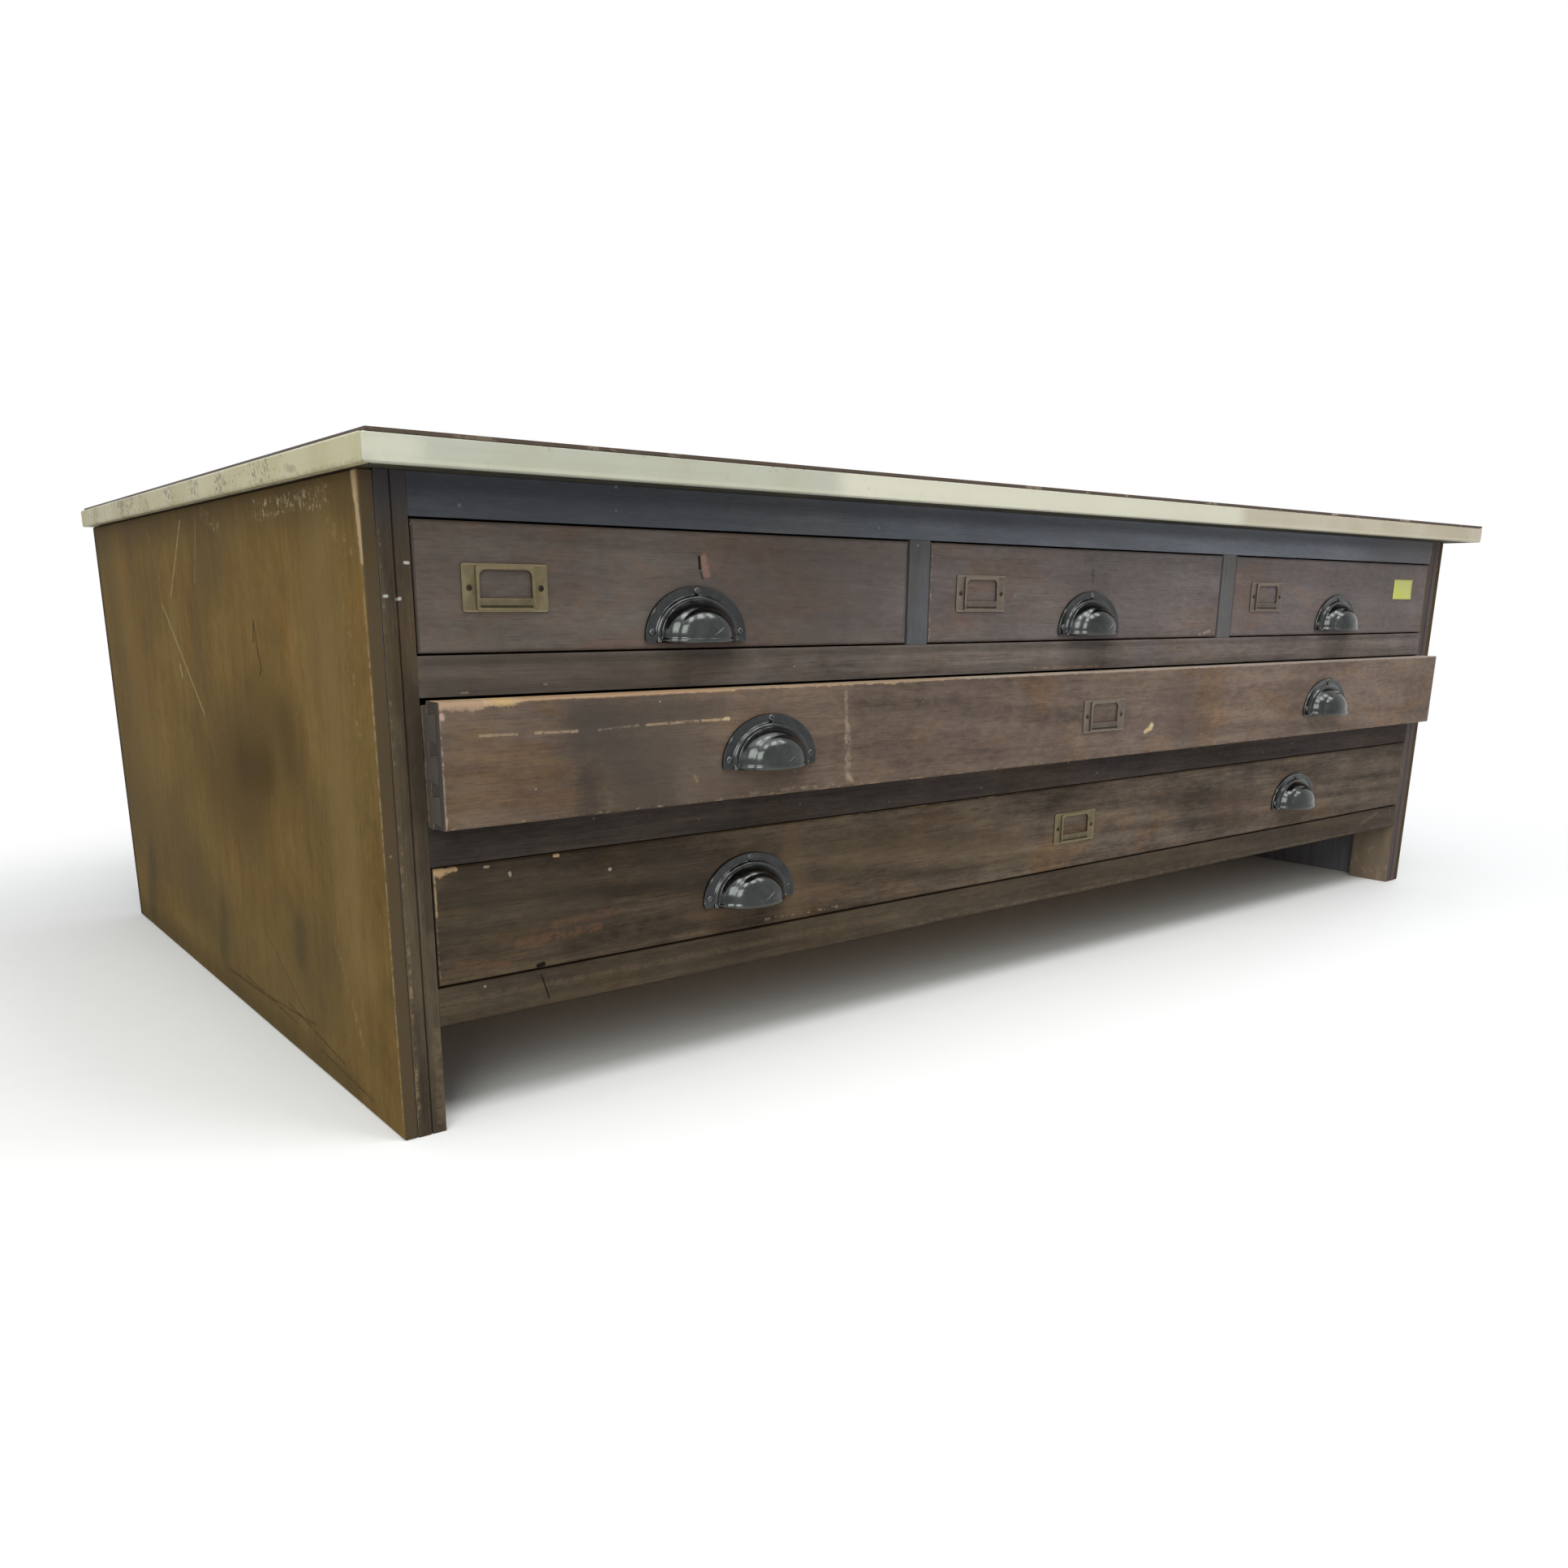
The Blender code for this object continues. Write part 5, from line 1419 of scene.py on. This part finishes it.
@dataclass
class Drawer:
    """One drawer: its front, box, pulls and card holder."""

    name: str
    finish: WoodFinish
    marks: tuple[Stroke, ...]
    seed: int
    # Painted sheen: what the front's colour is multiplied by towards the right end
    painted_sheen_right: Colour
    holder: MetalFinish
    pulls: tuple[str, ...] = ("pull",)
    face: float = 0.0
    # Dark ends of the box's sides, which hands have touched: middle and width
    handled: Point = (0.010, 0.037)

    def dress(self) -> None:
        """Give the front and the box their materials."""
        front = self.name + "_front"
        bare = (Y, self.face + FINISH_END[0], self.face + FINISH_END[1])
        assign(front, self.finish.build(
            front + "_wood", self.seed, Grain.ALONG_X, Face.FRONT, box(front), self.marks,
            self.painted_sheen_right, bare,
        ))
        for index, (part, grain, face) in enumerate((
            ("left_side", Grain.ALONG_Y, Face.SIDE),
            ("right_side", Grain.ALONG_Y, Face.SIDE),
            ("back", Grain.ALONG_X, Face.FRONT),
            ("bottom", Grain.ALONG_X, Face.LEVEL),
        )):
            node = f"{self.name}_{part}"
            marks = ()
            if face is Face.SIDE:
                middle, width = self.handled
                low, high = ((self.face + middle, corner.z) for corner in box(node))
                marks = (Stroke(low, high, width, HANDLED, 0.94, 0.2, 0.0, 0.15),)
            seed = self.seed * 7 + index
            assign(node, INNER.build(node + "_wood", seed, grain, face, box(node), marks))

    def build(self, steel: bpy.types.Material, rusty: bpy.types.Material) -> None:
        """Build the fine pulls and the screws, and finish the card holder.

        Args:
            steel: the material of the pulls' screws.
            rusty: the material of the card holder's screws.
        """
        for index, pull in enumerate(self.pulls):
            node = f"{self.name}_{pull}"
            metal = BRONZE.build(node + "_bronze", self.seed + index, self.face)
            CupPull(node, self.name, self.seed * 3 + index).build(metal, steel)
        holder = self.name + "_card_holder"
        assign(holder, self.holder.build(holder + "_metal", self.seed))
        CardHolder(holder, self.name, self.seed).build(rusty)


def shown_rays(tree: bpy.types.NodeTree) -> Socket:
    """Return one for the rays that show the background, and zero for those that light.

    Args:
        tree: the node tree that the nodes are added to.
    """
    path = tree.nodes.new("ShaderNodeLightPath")
    shown = path.outputs["Is Camera Ray"]
    for name in ("Is Glossy Ray", "Is Transmission Ray"):
        either = tree.nodes.new("ShaderNodeMath")
        either.operation = "MAXIMUM"
        tree.links.new(shown, either.inputs[0])
        tree.links.new(path.outputs[name], either.inputs[1])
        shown = either.outputs[0]
    return shown


@dataclass(frozen=True)
class Lamp:
    """A rectangular soft lamp: where it hangs, where it faces, its size and its power."""

    name: str
    place: tuple[float, float, float]
    aim: tuple[float, float, float]
    size: Point
    watts: float
    colour: Colour = WHITE

    def hang(self) -> None:
        """Hang the lamp."""
        lamp = bpy.data.lights.new(self.name, "AREA")
        lamp.shape = "RECTANGLE"
        lamp.size, lamp.size_y = self.size
        lamp.energy = self.watts
        lamp.color = self.colour
        item = bpy.data.objects.new(self.name, lamp)
        item.location = self.place
        run = Vector(self.aim) - Vector(self.place)
        item.rotation_euler = run.to_track_quat("-Z", "Y").to_euler()
        item.visible_camera = False
        bpy.context.scene.collection.objects.link(item)


LAMPS = (
    Lamp("overhead_lamp", (-0.3, -0.6, 3.2), (0.0, 0.0, 0.2), (3.6, 3.0), 54.0),
    Lamp("left_lamp", (-3.6, -0.2, 1.7), (-0.6, 0.0, 0.25), (2.4, 1.8), 10.0, (1.0, 0.98, 0.93)),
    Lamp("corner_lamp", (-2.5, -2.4, 1.85), (-0.1, -0.4, 0.3), (1.5, 1.8), 48.0,
         (0.97, 1.0, 0.94)),
    Lamp("window", (3.1, 0.45, 1.25), (0.2, -0.45, 0.3), (0.9, 0.7), 14.0, (0.78, 0.88, 1.0)),
    *(
        Lamp(f"ceiling_tube_{index}", (across, -1.5, 2.5), (across * 0.5, -0.45, 0.3),
             (0.55, 0.9), 10.0)
        for index, across in enumerate((-0.9, 0.1, 1.1))
    ),
)


@dataclass
class Studio:
    """Pale floor, soft lamps and the camera of the photograph."""

    floor_half: float = 40.0
    floor_tones: tuple[Colour, Colour] = ((0.88, 0.88, 0.88), (0.90, 0.90, 0.895))
    # Ellipse on the floor that shows shadows: its middle and its half axes
    shaded_middle: Point = (0.76, 0.42)
    shaded_reach: Point = (1.6, 1.3)
    sky: Colour = (0.93, 0.97, 1.0)
    sky_strength: float = 0.36
    focal_pixels: float = 1515.41
    image_pixels: float = 1932.0
    centre_pixels: Point = (926.48, 1141.89)
    eye: tuple[float, float, float] = (-0.3099, -0.8265, 0.3882)
    yaw: float = 37.497
    pitch: float = -14.720
    roll: float = 0.238
    sensor: float = 36.0

    def build(self) -> None:
        """Build the floor, the lamps, the surroundings and the camera."""
        self._floor()
        for lamp in LAMPS:
            lamp.hang()
        self._world()
        self._camera()
        bpy.context.scene.view_settings.view_transform = "Standard"

    def _floor(self) -> None:
        """Lay a wide pale floor."""
        shape = bmesh.new()
        bmesh.ops.create_grid(shape, x_segments=1, y_segments=1, size=self.floor_half)
        mesh = bpy.data.meshes.new("studio_floor")
        shape.to_mesh(mesh)
        shape.free()
        graph = ShaderGraph("studio_floor_finish")
        tone = graph.mix(graph.noise(30.0, 3.0, 0.5), *self.floor_tones)
        graph.shade({"Base Color": tone, "Roughness": 0.9, "Specular IOR Level": 0.1})
        squares = []
        for place, middle, reach in zip(graph.split(), self.shaded_middle, self.shaded_reach):
            share = graph.calc("DIVIDE", graph.minus(place, middle), reach)
            squares.append(graph.times(share, share))
        away = graph.fade(graph.plus(*squares), 0.35, 1.0)
        seen = shown_rays(graph.tree)
        white = graph.add("Emission").outputs[0]
        lit = graph.shader.outputs[0]
        choose = graph.add("MixShader", {0: graph.times(away, seen), 1: lit, 2: white})
        graph.feed(graph.output.inputs["Surface"], choose.outputs[0])
        mesh.materials.append(graph.material)
        floor = bpy.data.objects.new("studio_floor", mesh)
        bpy.context.scene.collection.objects.link(floor)

    def _world(self) -> None:
        """Light softly from all sides, and show plain white behind."""
        world = bpy.data.worlds.new("studio_world")
        world.use_nodes = True
        bpy.context.scene.world = world
        tree = world.node_tree
        tree.nodes.clear()
        output = tree.nodes.new("ShaderNodeOutputWorld")
        choose = tree.nodes.new("ShaderNodeMixShader")
        tree.links.new(shown_rays(tree), choose.inputs["Fac"])
        for index, colour, strength in ((1, self.sky, self.sky_strength), (2, WHITE, 1.0)):
            light = tree.nodes.new("ShaderNodeBackground")
            light.inputs["Color"].default_value = (*colour, 1.0)
            light.inputs["Strength"].default_value = strength
            tree.links.new(light.outputs[0], choose.inputs[index])
        tree.links.new(choose.outputs[0], output.inputs["Surface"])

    def _camera(self) -> None:
        """Set the camera that repeats the photograph's view."""
        yaw, pitch, roll = (math.radians(angle) for angle in (self.yaw, self.pitch, self.roll))
        level = math.cos(pitch)
        ahead = Vector((math.sin(yaw) * level, math.cos(yaw) * level, math.sin(pitch)))
        aside = Vector((math.cos(yaw), -math.sin(yaw), 0.0))
        upright = aside.cross(ahead)
        right = aside * math.cos(roll) + upright * math.sin(roll)
        up = upright * math.cos(roll) - aside * math.sin(roll)
        camera = bpy.data.cameras.new("photo_camera")
        camera.sensor_width = self.sensor
        camera.lens = self.focal_pixels / self.image_pixels * self.sensor
        camera.shift_x = (self.image_pixels / 2 - self.centre_pixels[0]) / self.image_pixels
        camera.shift_y = (self.centre_pixels[1] - self.image_pixels / 2) / self.image_pixels
        camera.clip_start = 0.01
        camera.clip_end = 200.0
        item = bpy.data.objects.new("photo_camera", camera)
        turn = Matrix((right, up, -ahead)).transposed().to_4x4()
        item.matrix_world = Matrix.Translation(Vector(self.eye) + CORNER) @ turn
        bpy.context.scene.collection.objects.link(item)
        bpy.context.scene.camera = item


# Painted sheen of the small fronts, lighter towards the right end
SMALL_SHEEN = (1.68, 1.80, 2.08)
TWO_PULLS = ("left_pull", "right_pull")
# The colour after each seed is painted sheen, lighter towards the right end
DRAWERS = (
    Drawer("top_left_drawer", SMALL_FRONT, TOP_LEFT_MARKS, 71, SMALL_SHEEN, BRASS),
    Drawer("top_middle_drawer", SMALL_FRONT, TOP_MIDDLE_MARKS, 72, SMALL_SHEEN, DULL_BRASS),
    Drawer("top_right_drawer", SMALL_FRONT, TOP_RIGHT_MARKS, 73, SMALL_SHEEN, DULL_BRASS),
    Drawer("upper_wide_drawer", UPPER_FRONT, UPPER_WIDE_MARKS, 74, (1.76, 1.80, 1.92), DULL_BRASS,
           TWO_PULLS, PULLED_FACE),
    Drawer("lower_wide_drawer", LOWER_FRONT, LOWER_WIDE_MARKS, 75, (1.88, 2.02, 2.40), BRASS,
           TWO_PULLS),
)


def main() -> None:
    """Dress the cabinet, build its fine pieces and set up the studio."""
    logging.basicConfig(level=logging.INFO, format="%(name)s: %(message)s")
    steel = STEEL.build("screw_steel", 6)
    rusty = RUSTY.build("holder_screw_steel", 7)
    for board in BOARDS:
        board.dress()
    dress_top()
    for drawer in DRAWERS:
        drawer.dress()
        drawer.build(steel, rusty)
    Sticker().build(PAPER.build("yellow_paper", 3))
    BackNails().build(steel)
    Studio().build()


if __name__ == "__main__":
    main()
